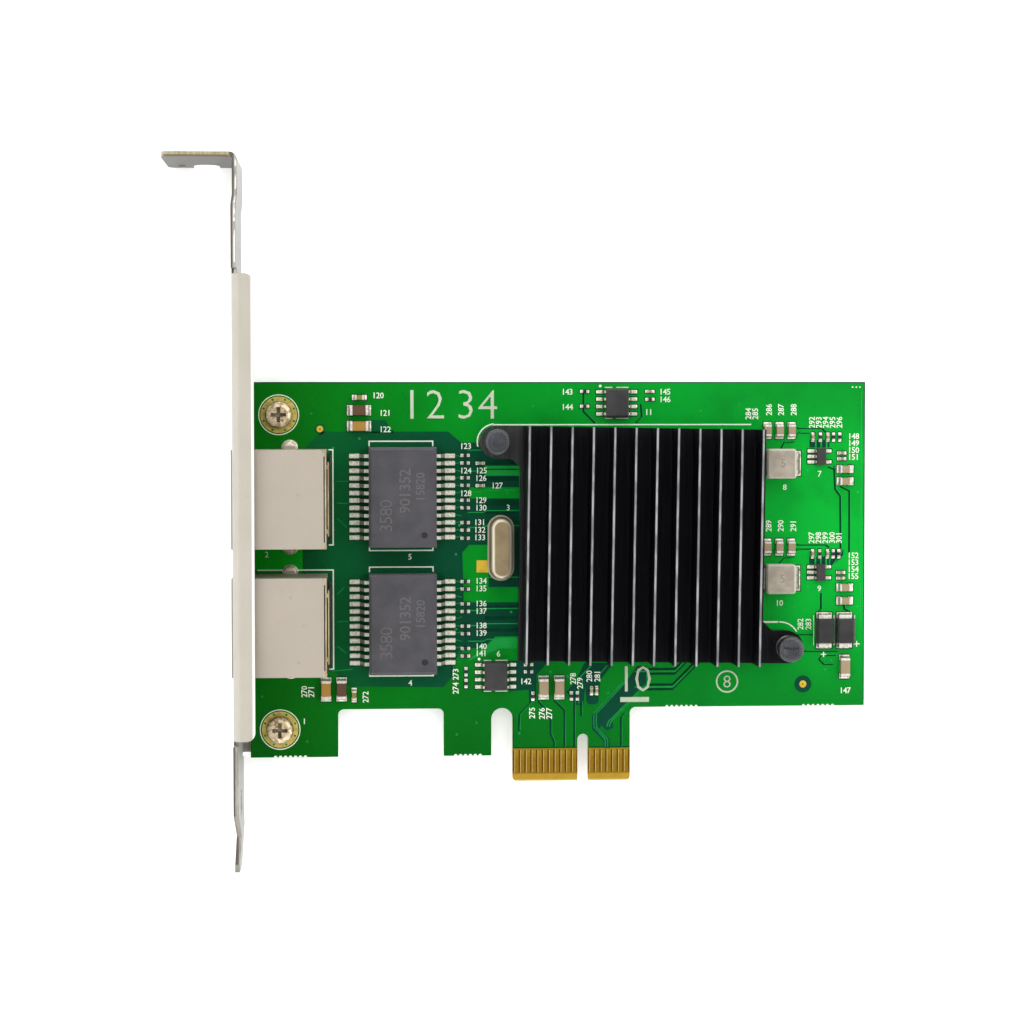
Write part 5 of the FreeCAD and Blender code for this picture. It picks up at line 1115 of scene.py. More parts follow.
def studio_floor():
    """Pale seamless floor with the faintest unevenness."""
    tone = settings("card_studio").floor_colour
    f = Finish("studio_floor")
    wide = f.noise(180.0, 2.0)
    fine = f.noise(2.0, 2.0)
    colour = f.mix(tone, tuple(0.985 * c for c in tone), wide)
    return f.surface(colour, f.step(fine, 0.2, 0.8, 0.75, 0.85), Specular_IOR_Level=0.1,
                     Emission_Color=(1.0, 1.0, 1.0, 1.0), Emission_Strength=0.35)


def green_guide():
    return light_guide("green_guide", (0.42, 0.56, 0.4), (0.2, 0.42, 0.2))


def amber_guide():
    return light_guide("amber_guide", (0.62, 0.5, 0.3), (0.5, 0.3, 0.1))


MAKERS = {maker.__name__: maker for maker in (
    board_mask, bare_mask, clearing_mask, trace_mask, print_ink, pale_ink, mark_ink, core_mark, gold,
    land_gold, contact_plating, solder, flux_tin, bright_fold, tin, chip_ceramic, chip_resistor,
    package_black, transformer_grey, diode_black, housing_black, ferrite, bracket_plate, shield_metal,
    screw_steel,
    crystal_metal, anodised_black, pin_nylon, spring_wire, contact_gold, thermal_pad, studio_floor,
    green_guide, amber_guide)}
MADE = {}


def finish(name):
    """A finish by name, made when it is first asked for."""
    if name not in MADE:
        MADE[name] = MAKERS[name]()
    return MADE[name]


def coat(nodes, name):
    """Give CAD nodes a finish."""
    for node in nodes:
        for place in NODES[node].material_slots:
            place.material = finish(name)


# ------------------------------------------------------------------ repeated shapes

def hidden_shape(name, mesh):
    """A source shape for a recipe. It is taken away once its copies are made."""
    shape = link(name, mesh)
    shape.hide_render = True
    return shape


def chip_shape(length, width, rise, cap):
    """A chip body between two slightly thicker end caps, with rounded edges."""
    work = bmesh.new()
    tin_layer = work.faces.layers.float.new("tin")
    swell = 0.025
    for start, end, grown, tinned in ((-length / 2, -length / 2 + cap, swell, 1.0),
                                      (-length / 2 + cap, length / 2 - cap, 0.0, 0.0),
                                      (length / 2 - cap, length / 2, swell, 1.0)):
        made = bmesh.ops.create_cube(work, size=1.0)["verts"]
        for vert in made:
            vert.co = Vector(((start + end) / 2 + vert.co.x * (end - start),
                              vert.co.y * (width - 0.05 + 2 * grown),
                              rise / 2 + vert.co.z * (rise - 0.05 + 2 * grown))) * MM
        for face in {face for vert in made for face in vert.link_faces}:
            face[tin_layer] = tinned
        if tinned:
            edges = list({edge for vert in made for edge in vert.link_edges})
            bmesh.ops.bevel(work, geom=edges, offset=min(0.09, rise * 0.16) * MM, segments=1,
                            affect="EDGES")
    mesh = bpy.data.meshes.new("chip_shape")
    work.to_mesh(mesh)
    work.free()
    return mesh


def fillet_shape():
    """One solder fillet of unit size: it climbs towards +X, where the lead or chip is."""
    across, along = 4, 4
    points, faces = [], []
    for i in range(along + 1):
        for j in range(across + 1):
            u, v = i / along, 2 * j / across - 1
            pinch = 1 - 0.35 * (1 - u) ** 2
            height = (0.08 + 0.92 * u ** 2.4) * (1 - 0.55 * abs(v) ** 3)
            points.append((u, v * pinch / 2, height))
    base = len(points)
    for i in range(along + 1):
        for j in (0, across):
            x, y, _ = points[i * (across + 1) + j]
            points.append((x, y, 0.0))
    for i in range(along):
        for j in range(across):
            a = i * (across + 1) + j
            faces.append((a, a + across + 1, a + across + 2, a + 1))
        low, high = base + 2 * i, base + 2 * i + 1
        a, b = i * (across + 1), i * (across + 1) + across
        faces.append((low, low + 2, a + across + 1, a))
        faces.append((high + 2, high, b, b + across + 1))
    faces.append((base, *range(0, across + 1), base + 1))
    last = along * (across + 1)
    faces.append((base + 2 * along + 1, *range(last + across, last - 1, -1), base + 2 * along))
    faces.append(tuple([base + 2 * i + 1 for i in range(along + 1)]
                       + [base + 2 * i for i in range(along, -1, -1)]))
    return outward(raw_mesh("fillet_shape", points, faces))


def joint_shape():
    """A solder cone round a cut pin, one unit in radius, pointing along +Z."""
    profile = [(0, 0), (1.0, 0), (1.0, 0.06), (0.8, 0.16), (0.6, 0.38), (0.46, 0.68), (0.38, 0.95),
               (0.3, 1.12), (0.16, 1.2), (0, 1.22)]
    points, faces = lathe(profile, 14)
    return outward(raw_mesh("joint_shape", points, faces))


def via_shape():
    """A plated hole covered with mask: a low ring round a small dimple."""
    profile = [(0, -0.01), (1.0, -0.01), (1.0, 0.02), (0.85, 0.05), (0.55, 0.05), (0.42, 0.012),
               (0, 0.008)]
    points, faces = lathe(profile, 12)
    return outward(raw_mesh("via_shape", points, faces))


class ReplaceableShapes:
    """Holds source shapes while pieces are made, and takes them away at the end."""

    def __enter__(self):
        self.made = []
        return self

    def shape(self, name, mesh):
        self.made.append(hidden_shape(name, mesh))
        return self.made[-1]

    def __exit__(self, *_):
        for made in self.made:
            bpy.data.objects.remove(made)


CHIPS = {"capacitors_1206": ("chip_ceramic", 0.5), "capacitors_0805": ("chip_ceramic", 0.4),
         "capacitors_0603": ("chip_ceramic", 0.35), "capacitors_0402": ("chip_ceramic", 0.25),
         "resistors_0402": ("chip_resistor", 0.22)}


def chip_tone(node, place):
    """Which ceramic a chip has: 0 tan, 0.34 brown, 0.67 orange, 1 ochre."""
    if node == "capacitors_1206" and place.x < -35:
        return 0.34 if place.y > 63 or place.x > -43 and place.y < 20 else 0.67
    if node == "capacitors_0603":
        return 1.0
    return 0.0


# ------------------------------------------------------------------ operators

class CARD_OT_studio(bpy.types.Operator):
    """Make the floor, the lights and the camera"""
    bl_idname = "card.studio"
    bl_label = "Studio"

    def execute(self, context):
        studio = settings("card_studio")
        floor_z = CAD_BOX[0][2] / MM
        reach, curl, wall, turn = 1000.0, 400.0, 1500.0, 12
        profile = [(0.0, floor_z), (reach / 3, floor_z)]
        profile += [(reach + curl * math.sin(math.pi / 2 * k / turn),
                     floor_z + curl * (1 - math.cos(math.pi / 2 * k / turn))) for k in range(turn + 1)]
        profile.append((reach + curl, wall))
        points, faces = lathe(profile, 64)
        floor = link("studio_floor", raw_mesh("studio_floor", points, [face[::-1] for face in faces]))
        floor.data.materials.append(finish("studio_floor"))
        floor.data.shade_smooth()
        aim = Vector((-5, 40, 0)) * MM
        for name, place, size, power, tint in (
                ("key_light", (500, 180, 620), 640, studio.key_power, (1.0, 0.99, 0.97)),
                ("fill_light", (-510, 100, 620), 640, studio.fill_power, (0.98, 0.99, 1.0)),
                ("far_light", (-20, 560, 620), 640, studio.top_power, (1.0, 1.0, 1.0)),
                ("near_light", (60, -470, 620), 640, studio.top_power, (1.0, 1.0, 0.99))):
            lamp = bpy.data.lights.new(name, "AREA")
            lamp.shape = "SQUARE"
            lamp.size = size * MM
            lamp.energy = power
            lamp.color = tint
            holder = link(name, lamp)
            holder.visible_camera = False
            holder.location = Vector(place) * MM
            holder.rotation_euler = (aim - holder.location).to_track_quat("-Z", "Y").to_euler()
        world = bpy.data.worlds.new("studio_air")
        context.scene.world = world
        world.use_nodes = True
        world.node_tree.nodes["Background"].inputs["Color"].default_value = (1, 1, 1, 1)
        world.node_tree.nodes["Background"].inputs["Strength"].default_value = 0.15
        camera = bpy.data.cameras.new("camera")
        camera.lens = studio.lens
        camera.sensor_width = 36.0
        camera.clip_start = 0.01
        camera.clip_end = 20.0
        holder = link("camera", camera)
        holder.matrix_world = (Matrix.Translation(Vector(CAMERA_PLACE) * MM)
                               @ CAMERA_TURN.to_4x4())
        context.scene.camera = holder
        context.scene.view_settings.view_transform = "Standard"
        return {"FINISHED"}


def camera_turn():
    """The camera looks down on the card, leaning a little along it."""
    spin = Vector(CAMERA_SPIN)
    world_to_view = Matrix.Rotation(spin.length, 3, spin.normalized())
    flip = Matrix(((1, 0, 0), (0, -1, 0), (0, 0, -1)))
    return (flip @ world_to_view).transposed()


CAMERA_TURN = camera_turn()


class CARD_OT_finishes(bpy.types.Operator):
    """Give every part of the frame its finish"""
    bl_idname = "card.finishes"
    bl_label = "Finishes"

    def execute(self, context):
        named = {"circuit_board": "board_mask", "bracket": "bracket_plate", "heat_sink": "anodised_black",
                 "controller_chip": "package_black", "thermal_pad": "thermal_pad",
                 "crystal_can": "crystal_metal", "crystal_header": "crystal_metal",
                 "crystal_leads": "spring_wire"}
        for node in NODES:
            if node in named:
                name = named[node]
            elif node.startswith("bracket_screw"):
                name = "screw_steel"
            elif node.startswith("edge_contacts"):
                name = "contact_plating"
            elif node.endswith("_shield"):
                name = "shield_metal"
            elif node.endswith("_housing"):
                name = "housing_black"
            elif node.endswith("_contacts"):
                name = "contact_gold"
            elif node.endswith("link_light"):
                name = "green_guide"
            elif node.endswith("activity_light"):
                name = "amber_guide"
            elif node.endswith("_spring"):
                name = "spring_wire"
            elif node.startswith("push_pin"):
                name = "pin_nylon"
            elif node.startswith("diode") and node.endswith("_body"):
                name = "diode_black"
            elif node.startswith("transformer") and node.endswith("_body"):
                name = "transformer_grey"
            elif node.endswith("_core"):
                name = "ferrite"
            elif node.endswith(("_leads", "_terminals")):
                name = "tin"
            elif node in CHIPS:
                name = CHIPS[node][0]
            else:
                name = "package_black"
            coat([node], name)
        return {"FINISHED"}


class CARD_OT_copper(bpy.types.Operator):
    """Draw the copper under the mask: bare areas, clearings and traces"""
    bl_idname = "card.copper"
    bl_label = "Copper"

    def execute(self, context):
        board = settings("card_board")
        gap, trace = board.gap / MM, board.trace / MM
        bare = Shapes()
        # Most places in this operator are typed in, in millimetres: they don't follow the frame
        # the space without copper round the transformers, up to the heat sink
        bare.plate([(-48.2, 19.5), (-42.6, 19.0), (-40.2, 16.6), (-24.0, 16.4), (-22.6, 18.2),
                    (-21.4, 22.6), (-16.9, 23.4), (-15.1, 25.1), (-11.0, 25.1), (-11.0, 31.0),
                    (-20.6, 31.0), (-20.6, 32.6), (-20.8, 39.6), (-19.6, 40.9), (-16.3, 40.9),
                    (-16.3, 33.6), (-11.0, 33.6), (-11.0, 48.9), (-19.6, 48.9), (-19.6, 50.8),
                    (-11.0, 50.8), (-11.0, 57.4), (-16.9, 58.5), (-21.0, 58.5), (-23.2, 60.4),
                    (-44.8, 60.4), (-47.4, 58.0), (-48.2, 57.0)], CLEARING)
        bare.plate([(-38.9, 60.2), (-36.6, 60.2), (-36.6, 62.4), (-34.0, 62.4), (-32.4, 60.2)],
                   CLEARING)
        # beside the key notch
        bare.plate([(-2.9, 15.4), (-1.3, 17.3), (0.3, 20.4), (5.4, 20.4), (3.0, 17.4), (2.7, 13.6),
                    (2.2, 13.2), (1.0, 13.2), (0.6, 13.7), (0.4, 16.3), (0.1, 13.1), (-1.1, 13.1),
                    (-1.9, 14.4)], CLEARING)
        bare.plate([(-12.8, 20.9), (-5.8, 20.9), (-8.0, 18.4), (-8.1, 13.9), (-9.3, 13.2),
                    (-9.4, 15.8), (-12.8, 15.6)], CLEARING)
        bare.plate([(7.8, 17.5), (1.55, 11.4), (1.6, 8.9), (3.6, 6.8), (3.6, 5.6), (4.7, 5.6),
                    (4.7, 7.1), (2.9, 9.0), (3.2, 9.5), (4.2, 8.6), (5.3, 9.1), (5.0, 10.9),
                    (11.0, 16.8), (11.0, 19.8), (9.4, 19.8)], CLEARING)
        # at the regulators
        for y in (57.55, 37.35):
            bare.slab(39.4, y, 42.9, y + 1.3, CLEARING)
        bare.plate([(42.9, 36.4), (45.4, 38.9), (45.4, 39.8), (43.4, 39.8)], CLEARING)
        bare.disc(*LOW_TARGET, 1.5, CLEARING)
        bare.disc(*HIGH_TARGET, 0.95, CLEARING)
        settle("bare_areas", bare.mesh("bare_areas"), finish("bare_mask"))

        left_of_sink = [
            [(-8.7, 15.4), (-8.7, 13.9), (-11.0, 11.5), (-11.1, 8.7)],
            [(-7.8, 13.9), (-5.6, 11.4), (-5.6, 8.1), (-5.0, 6.7), (-5.0, 5.8)],
            [(-5.0, 13.9), (-4.1, 13.1), (-3.2, 12.2), (-3.2, 5.8)],
            [(-1.5, 13.7), (-1.5, 5.8)], [(-0.3, 13.6), (-0.3, 11.2)],
            [(6.6, 5.7), (6.6, 10.8), (7.3, 11.7)],
            [(-22.6, 18.2), (-22.6, 20.6), (-20.6, 22.8)]]
        right_of_sink = [
            [(43.7, 54.3), (43.9, 50.3), (44.8, 49.1), (44.9, 39.3), (43.1, 36.7)],
            [(44.8, 50.8), (46.4, 50.0), (46.4, 39.3)],
            [(37.2, 40.7), (42.2, 40.7), (42.9, 40.2)], [(37.1, 39.8), (37.7, 40.0), (40.2, 40.0)],
            [(34.4, 57.3), (35.0, 58.4), (36.8, 58.6)], [(34.1, 37.4), (35.1, 38.4), (36.9, 38.7)],
            [(41.5, 32.3), (41.5, 29.4), (41.0, 28.9)], [(36.6, 25.1), (40.3, 25.1)],
            [(38.6, 22.2), (44.5, 22.2)],
            [(43.7, 19.9), (42.0, 19.9), (41.2, 20.7), (41.7, 21.4), (44.2, 21.5)],
            [(45.5, 30.2), (45.6, 29.5), (47.0, 28.8)],
            [(37.2, 60.9), (41.5, 60.9), (42.2, 60.2)], [(37.0, 59.6), (37.7, 60.1), (39.4, 60.1)],
            [(42.6, 54.2), (43.8, 53.8)],
            [(0.1, 67.1), (0.1, 63.8), (2.1, 61.8)], [(10.0, 65.1), (10.2, 62.8), (9.2, 61.8)]]
        clear, fine = Shapes(), Shapes()
        for path in left_of_sink + right_of_sink:
            clear.ribbon(path, gap * 0.8, CLEARED_LINE)
            fine.ribbon([(x + 0.23, y + 0.1) for x, y in path], trace * 0.6, COPPER)
        # pairs that turn away under the heat sink
        for rise in (0.0, 0.8, 2.7, 3.5):
            start = 15.75 + rise
            clear.ribbon([(11.1, start), (15.5 + rise * 0.15, start),
                          (15.5 + rise * 0.15 + (20.4 - start), 20.4)], gap, CLEARED_LINE)
        for rise in (0.4, 3.1):
            start = 15.75 + rise
            fine.ribbon([(9.0, start), (15.6 + rise * 0.15, start),
                         (15.6 + rise * 0.15 + (20.4 - start), 20.4)], trace * 1.2, COPPER)
        # between the small chips and the heat sink
        for y, wide in ((55.05, 0.7), (52.25, 0.7), (48.15, 1.1), (46.4, 0.35), (44.9, 0.3),
                        (30.3, 0.4), (28.3, 0.6), (26.2, 0.6)):
            clear.ribbon([(-16.9, y), (-11.0, y)], wide, (0.009, 0.012))
        # along the edges of the board
        top, right = BOARD_HIGH.y, BOARD_HIGH.x
        clear.ribbon([(BOARD_LOW.x + 2, top - 0.1), (right - 0.1, top - 0.1), (right - 0.1, 13.6)],
                     0.16, CLEARED_LINE)
        fine.ribbon([(right - 0.62, top - 1.6), (right - 0.62, 26.0)], 0.14, COPPER)
        for start, end in TONGUE_HALVES:
            clear.ribbon([(start, TONGUE_TOP + 0.14), (end, TONGUE_TOP + 0.14)], 0.22, (0.005, 0.013))
        clear.ribbon([(-12.02, 11.3), (-12.02, 6.0)], 0.14, CLEARED_LINE)
        settle("clearings", clear.mesh("clearings"), finish("clearing_mask"))

        fine.ribbon([(-1.1, 17.3), (1.4, 19.9)], trace, COPPER)
        fine.ribbon([(2.7, 18.2), (4.2, 19.9)], trace, COPPER)
        fine.ribbon([(-0.7, 13.4), (-0.7, 16.2), (0.0, 17.3)], trace * 0.8, COPPER)
        for shift in (-0.16, 0.28):
            fine.ribbon([(7.2 + shift, 17.1), (2.05 + shift, 11.6), (2.1 + shift, 9.3),
                         (4.05 + shift, 7.1), (4.05 + shift, 5.8)], trace * 0.8, COPPER)
            fine.ribbon([(4.3 + shift, 9.3), (4.6 + shift, 10.2), (10.8 + shift, 16.4)],
                        trace * 0.8, COPPER)
        for node in ("transformer_lower_leads", "transformer_upper_leads"):
            low, high = span(node)
            pitch = (high.y - low.y - 0.6) / 11
            for k in range(12):
                y = low.y + 0.3 + pitch * k
                lean = 0.18 * (-1) ** k
                fine.ribbon([(high.x - 0.2, y), (high.x + 0.6, y), (high.x + 0.9, y + lean),
                             (-20.9, y + lean)], trace * 0.6, COPPER)
        # faint runs towards the jacks
        for path in ([(-42.3, 51.9), (-40.3, 51.9)], [(-42.3, 48.2), (-40.3, 48.1)],
                     [(-42.3, 45.6), (-40.6, 44.0)], [(-42.3, 32.5), (-41.0, 33.8)],
                     [(-42.3, 27.8), (-40.3, 27.8)], [(-42.3, 23.6), (-40.7, 22.3)],
                     [(-43.3, 19.3), (-39.7, 19.6)]):
            fine.ribbon(path, trace * 0.7, (0.004, 0.01))
        for y in (57.2, 53.6, 50.0, 46.5, 43.9, 35.0, 29.6, 27.0, 24.3):
            fine.ribbon([(-19.9, y), (-17.2, y), (-16.6, y + 0.3), (-11.0, y + 0.3)], trace * 0.8, COPPER)
        for node in ("regulator_upper_body", "regulator_lower_body"):
            centre = middle(node)
            for shift in (-0.95, 0.0, 0.95):
                fine.ribbon([(centre.x + 0.1 + shift, centre.y + 1.1),
                             (centre.x + 0.1 + shift, centre.y + 3.0)], trace * 1.3, COPPER)
        settle("traces", fine.mesh("traces"), finish("trace_mask"))

        pour = Shapes()
        pour.plate([(-16.9, 52.8), (-11.0, 52.8), (-11.0, 54.5), (-16.9, 54.5)], COPPER)
        pour.plate([(-14.4, 23.0), (-20.0, 20.9), (-16.9, 23.3), (-15.2, 24.9), (-11.0, 24.9),
                    (-11.0, 23.0)], (0.001, 0.015))
        settle("copper_islands", pour.mesh("copper_islands"), finish("trace_mask"))
        return {"FINISHED"}


class CARD_OT_plating(bpy.types.Operator):
    """Make the gold pads and the lands of the screws and jacks"""
    bl_idname = "card.plating"
    bl_label = "Plating"

    def execute(self, context):
        pads = Shapes()
        pads.pebble(-17.3, 37.2, 2.1, 2.1, PLATED, 0.15)
        pads.disc(*LOW_TARGET, 0.62, PLATED)
        pads.disc(*HIGH_TARGET, 0.57, PLATED)
        settle("gold_pads", pads.mesh("gold_pads"), finish("gold"))
        dots = Shapes()
        for x, y in (LOW_TARGET, HIGH_TARGET):
            dots.disc(x, y, 0.13, (PLATED[1] - 0.002, PLATED[1] + 0.004), 12)
        settle("target_dots", dots.mesh("target_dots"), finish("clearing_mask"))

        lands = Shapes()
        vias = []
        for name in ("lower", "upper"):
            screw = middle(f"bracket_screw_{name}")
            lands.ring(screw.x, screw.y, 3.12, 1.8, PLATED, 40)
            for k in range(8):
                angle = math.radians(45 * k + 22)
                vias.append(((screw.x + 2.78 * math.cos(angle), screw.y + 2.78 * math.sin(angle),
                              FACE[1] + 0.03), (0, 0, 0), (0.2, 0.2, 0.6), 0.0))
        settle("screw_lands", lands.mesh("screw_lands"), finish("land_gold"))
        # Places on the board in millimetres, typed in: they don't follow the frame
        small = [(-38.4, 59.2), (-33.1, 60.9), (-42.9, 57.6), (-21.9, 39.3), (-21.9, 26.4), (-21.3, 44.3),
                 (-13.2, 56.4), (-12.6, 53.6), (-13.0, 49.9), (-12.4, 29.3), (-12.9, 24.2), (-5.6, 18.9),
                 (-2.6, 18.1), (4.4, 15.2), (6.6, 12.3), (-11.0, 8.3), (1.9, 15.0), (13.4, 20.0),
                 (30.6, 62.9), (38.3, 56.9), (39.1, 53.6), (38.4, 36.6), (39.2, 33.4), (36.9, 29.9),
                 (42.3, 19.0), (43.3, 20.6), (47.9, 49.8), (47.9, 29.9), (27.2, 65.0), (20.4, 63.9),
                 (-8.6, 64.8), (-46.6, 63.5), (-55.2, 15.0), (-47.5, 7.2), (-21.8, 8.2), (-18.4, 10.2)]
        for x, y in small:
            vias.append(((x, y, FACE[1] + 0.01), (0, 0, 0), (0.22, 0.22, 0.4), 0.0))
        with ReplaceableShapes() as shapes:
            via = shapes.shape("via_shape", via_shape())
            mesh = scatter("vias", via, vias, finish("trace_mask"))
        settle("vias", mesh, smooth=50)

        # solder round the jacks' pegs, which stand just outside the shields
        mounds = []
        for jack in ("lower", "upper"):
            low, high = span(f"jack_{jack}_shield")
            for y in (low.y + 0.15, high.y - 0.15):
                mounds.append(((low.x + PEG_BACK, y, FACE[1]), (0, 0, 0), (1.35, 1.2, 0.9), 0.0))
        with ReplaceableShapes() as shapes:
            points, faces = lathe([(0, 0), (1.0, 0), (1.0, 0.08), (0.86, 0.2), (0.72, 0.5), (0.6, 0.62),
                                   (0, 0.62)], 20)
            mound = shapes.shape("mound_shape", outward(raw_mesh("mound_shape", points, faces)))
            mesh = scatter("peg_solder", mound, mounds, finish("flux_tin"), 0.04, 3)
        settle("peg_solder", mesh, smooth=40)
        return {"FINISHED"}


class CARD_OT_printing(bpy.types.Operator):
    """Print the outlines and the plain numbers on the board"""
    bl_idname = "card.printing"
    bl_label = "Printing"

    def execute(self, context):
        style = settings("card_print")
        line, tall = style.line / MM, style.figure / MM
        ink = Shapes()
        for name in ("lower", "upper"):
            low, high = span(f"jack_{name}_shield")
            edge = high.x + 0.95
            top = high.y - 0.65 if name == "upper" else high.y + 0.1
            ink.ribbon([(edge - 0.75, low.y + 0.55), (edge, low.y + 0.55), (edge, top),
                        (edge - 0.75 if name == "upper" else BOARD_LOW.x + 1.3, top)], line, INK)
            low, high = span(f"transformer_{name}_body")
            for y, way in ((high.y + 1.0, -1), (low.y - 0.75, 1)):
                ink.ribbon([(low.x + 0.1, y + way * 0.85), (low.x + 0.1, y), (high.x - 0.5, y),
                            (high.x - 0.5, y + way * 0.85)], line, INK)
            screw = middle(f"bracket_screw_{name}")
            ink.ring(screw.x, screw.y, 3.4 + line * 0.35, 3.4 - line * 0.35, INK, 48)
        # Places on the board in millimetres, typed in: they don't follow the frame
        ink.ribbon([(-15.6, 61.55), (29.2, 61.55)], line, INK)
        ink.ring(-15.1, 58.6, 3.1 + line / 2, 3.1 - line / 2, INK, 24, 95, 100)
        ink.ribbon([(31.15, 27.3), (34.0, 27.3)], line * 1.4, INK)
        ink.ring(34.3, 23.9, 3.4 + line / 2, 3.4 - line / 2, INK, 16, 30, 62)
        for node in ("flash_chip_body", "settings_chip_body"):
            low, high = span(node)
            for y in (high.y + 0.22, low.y - 0.22):
                ink.ribbon([(low.x - 0.1, y), (low.x + 1.2, y)], line * 0.6, INK)
                ink.ribbon([(low.x + 1.9, y), (high.x + 0.1, y)], line * 0.6, INK)
            ink.disc(low.x - 0.9, high.y + 0.45, 0.24, INK, 12)
        for node in ("diode_inner_terminals", "diode_outer_terminals"):
            low, high = span(node)
            for x in (low.x - 0.72, high.x + 0.72):
                ink.ribbon([(x, low.y + 0.2), (x, high.y - 0.2)], line * 0.55, INK)
        for x, y, arm in ((47.8, 23.4, 0.5), (42.0, 21.6, 0.45)):
            ink.ribbon([(x - arm, y), (x + arm, y)], line * 0.8, INK)
            ink.ribbon([(x, y - arm), (x, y + arm)], line * 0.8, (INK[0], INK[1] + 0.002))
        for x in (46.9, 47.55, 48.2):
            ink.disc(x, 68.0, 0.13, INK, 8)

        # single figures beside the large parts
        # Places on the board in millimetres, typed in: they don't follow the frame
        for text, x, y in (("1", -48.0, 10.7), ("2", -54.3, 39.4), ("3", -12.9, 47.3), ("4", -29.8, 17.2),
                           ("5", -29.8, 38.9), ("6", -14.6, 22.1), ("7", 41.2, 53.0), ("8", 35.1, 50.7),
                           ("9", 41.2, 33.1), ("10", 34.2, 30.6), ("11", 11.4, 63.7)):
            ink.number(text, x, y, tall, INK)
        # numbers beside the small parts, typed in as well, from the bracket to the far edge
        level = [(-35.2, 66.6), (-34.0, 63.6), (-34.0, 60.8), (-20.2, 57.9), (-20.2, 53.7),
                 (-17.5, 53.7), (-17.6, 52.4), (-14.8, 51.1), (-20.2, 49.8), (-17.6, 48.6),
                 (-17.6, 47.3), (-17.8, 44.8), (-17.8, 43.5), (-17.8, 42.2), (-17.6, 34.7),
                 (-17.6, 33.4), (-17.6, 30.8), (-17.6, 29.5), (-17.6, 27.0), (-17.6, 25.7),
                 (-17.6, 23.4), (-17.6, 22.2), (-9.9, 17.3), (-2.7, 67.2), (-2.7, 64.6),
                 (14.2, 67.2), (14.2, 65.9), (45.8, 15.3)]
        level += [(47.1, top - 1.2 * k) for top in (59.5, 38.8) for k in range(4)]
        for index, (x, y) in enumerate(level):
            ink.number(str(120 + index), x, y, tall, INK)
        upright = [(-48.0, 15.8), (-46.8, 15.8), (-37.5, 14.8), (-22.0, 18.6), (-22.0, 16.2),
                   (-8.8, 11.8), (-7.1, 11.7), (-5.85, 11.7), (-1.7, 17.7), (-0.5, 16.9), (1.1, 18.1),
                   (2.5, 18.1), (37.9, 26.9), (39.3, 26.9), (28.7, 63.4), (29.9, 63.4)]
        upright += [(x, y) for y in (64.1, 44.0) for x in (32.3, 34.4, 36.6)]
        upright += [(39.8 + 1.2 * k, y) for y in (61.9, 41.9) for k in range(5)]
        for index, (x, y) in enumerate(upright):
            ink.number(str(270 + index), x, y, tall, INK, 90)
        settle("board_printing", ink.mesh("board_printing"), finish("print_ink"))

        # Places on the board in millimetres, typed in: they don't follow the frame
        pale = Shapes()
        for x, text in ((-29.4, "1"), (-25.4, "2"), (-20.2, "3"), (-16.4, "4")):
            pale.number(text, x, 65.05, 4.9, INK)
        pale.ring(25.1, 17.0, 1.95, 1.68, INK, 40)
        pale.number("8", 25.1, 17.0, 2.1, INK)
        pale.ribbon([(6.5, 14.0), (11.5, 14.0)], 0.85, INK)
        pale.number("10", 9.0, 17.6, 4.4, INK)
        settle("large_figures", pale.mesh("large_figures"), finish("pale_ink"))
        return {"FINISHED"}


class CARD_OT_chips(bpy.types.Operator):
    """Make the capacitors and resistors with their end caps and solder"""
    bl_idname = "card.chips"
    bl_label = "Chips"

    def execute(self, context):
        joint = settings("card_solder")
        reach = joint.reach / MM
        fillets, pads, halo = [], Shapes(), Shapes()
        with ReplaceableShapes() as shapes:
            for node, (name, cap) in CHIPS.items():
                found = islands(node)
                size = found[0][1]
                length, width = max(size.x, size.y), min(size.x, size.y)
                shape = shapes.shape(f"{node}_shape", chip_shape(length, width, size.z, cap))
                places = []
                past = min(reach, 0.26 * length)
                for centre, extent in found:
                    across = extent.y > extent.x
                    places.append(((centre.x, centre.y, centre.z - extent.z / 2),
                                   (0, 0, math.pi / 2 if across else 0.0), (1, 1, 1),
                                   chip_tone(node, centre)))
                    for way in (-1, 1):
                        turn = (math.pi / 2 if across else 0.0) + (0 if way < 0 else math.pi)
                        tip = way * (length / 2 + past)
                        spot = (centre.x + (0 if across else tip), centre.y + (tip if across else 0))
                        fillets.append(((spot[0], spot[1], FACE[1] + 0.02), (0, 0, turn),
                                        (past + 0.02, width * 1.06, size.z * 0.62), 0.0))
                        off = way * (length / 2 + past / 2 - cap / 2)
                        x, y = centre.x + (0 if across else off), centre.y + (off if across else 0)
                        long, wide = past + cap + 0.1, width * 1.1 + 0.02
                        flat = (wide, long) if across else (long, wide)
                        pads.pebble(x, y, *flat, PLATED, 0.08, 2)
                        halo.pebble(x, y, flat[0] + 0.3, flat[1] + 0.3, HALO, 0.16, 2)
                mesh = scatter(f"{node}_copies", shape, places, finish(name))
                piece = settle(f"{node}_chips", mesh)
                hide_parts(node)
            fillet = shapes.shape("fillet_shape", fillet_shape())
            mesh = scatter("chip_fillets", fillet, fillets, finish("solder"), 0.06, joint.seed)
        settle("chip_solder", mesh, smooth=60)
        settle("chip_pads", pads.mesh("chip_pads"), finish("solder"))
        settle("chip_pad_clearings", halo.mesh("chip_pad_clearings"),
               finish("clearing_mask"))
        return {"FINISHED"}


# Solder past the toe, under the foot and up the lead, for each kind of leaded part
FEET = {"transformer": (0.03, 1.75, 0.26), "flash": (0.25, 0.95, 0.22), "settings": (0.25, 0.95, 0.22),
        "regulator": (0.3, 0.75, 0.2), "inductor": (0.32, 1.5, 0.8), "diode": (0.32, 1.3, 0.7)}


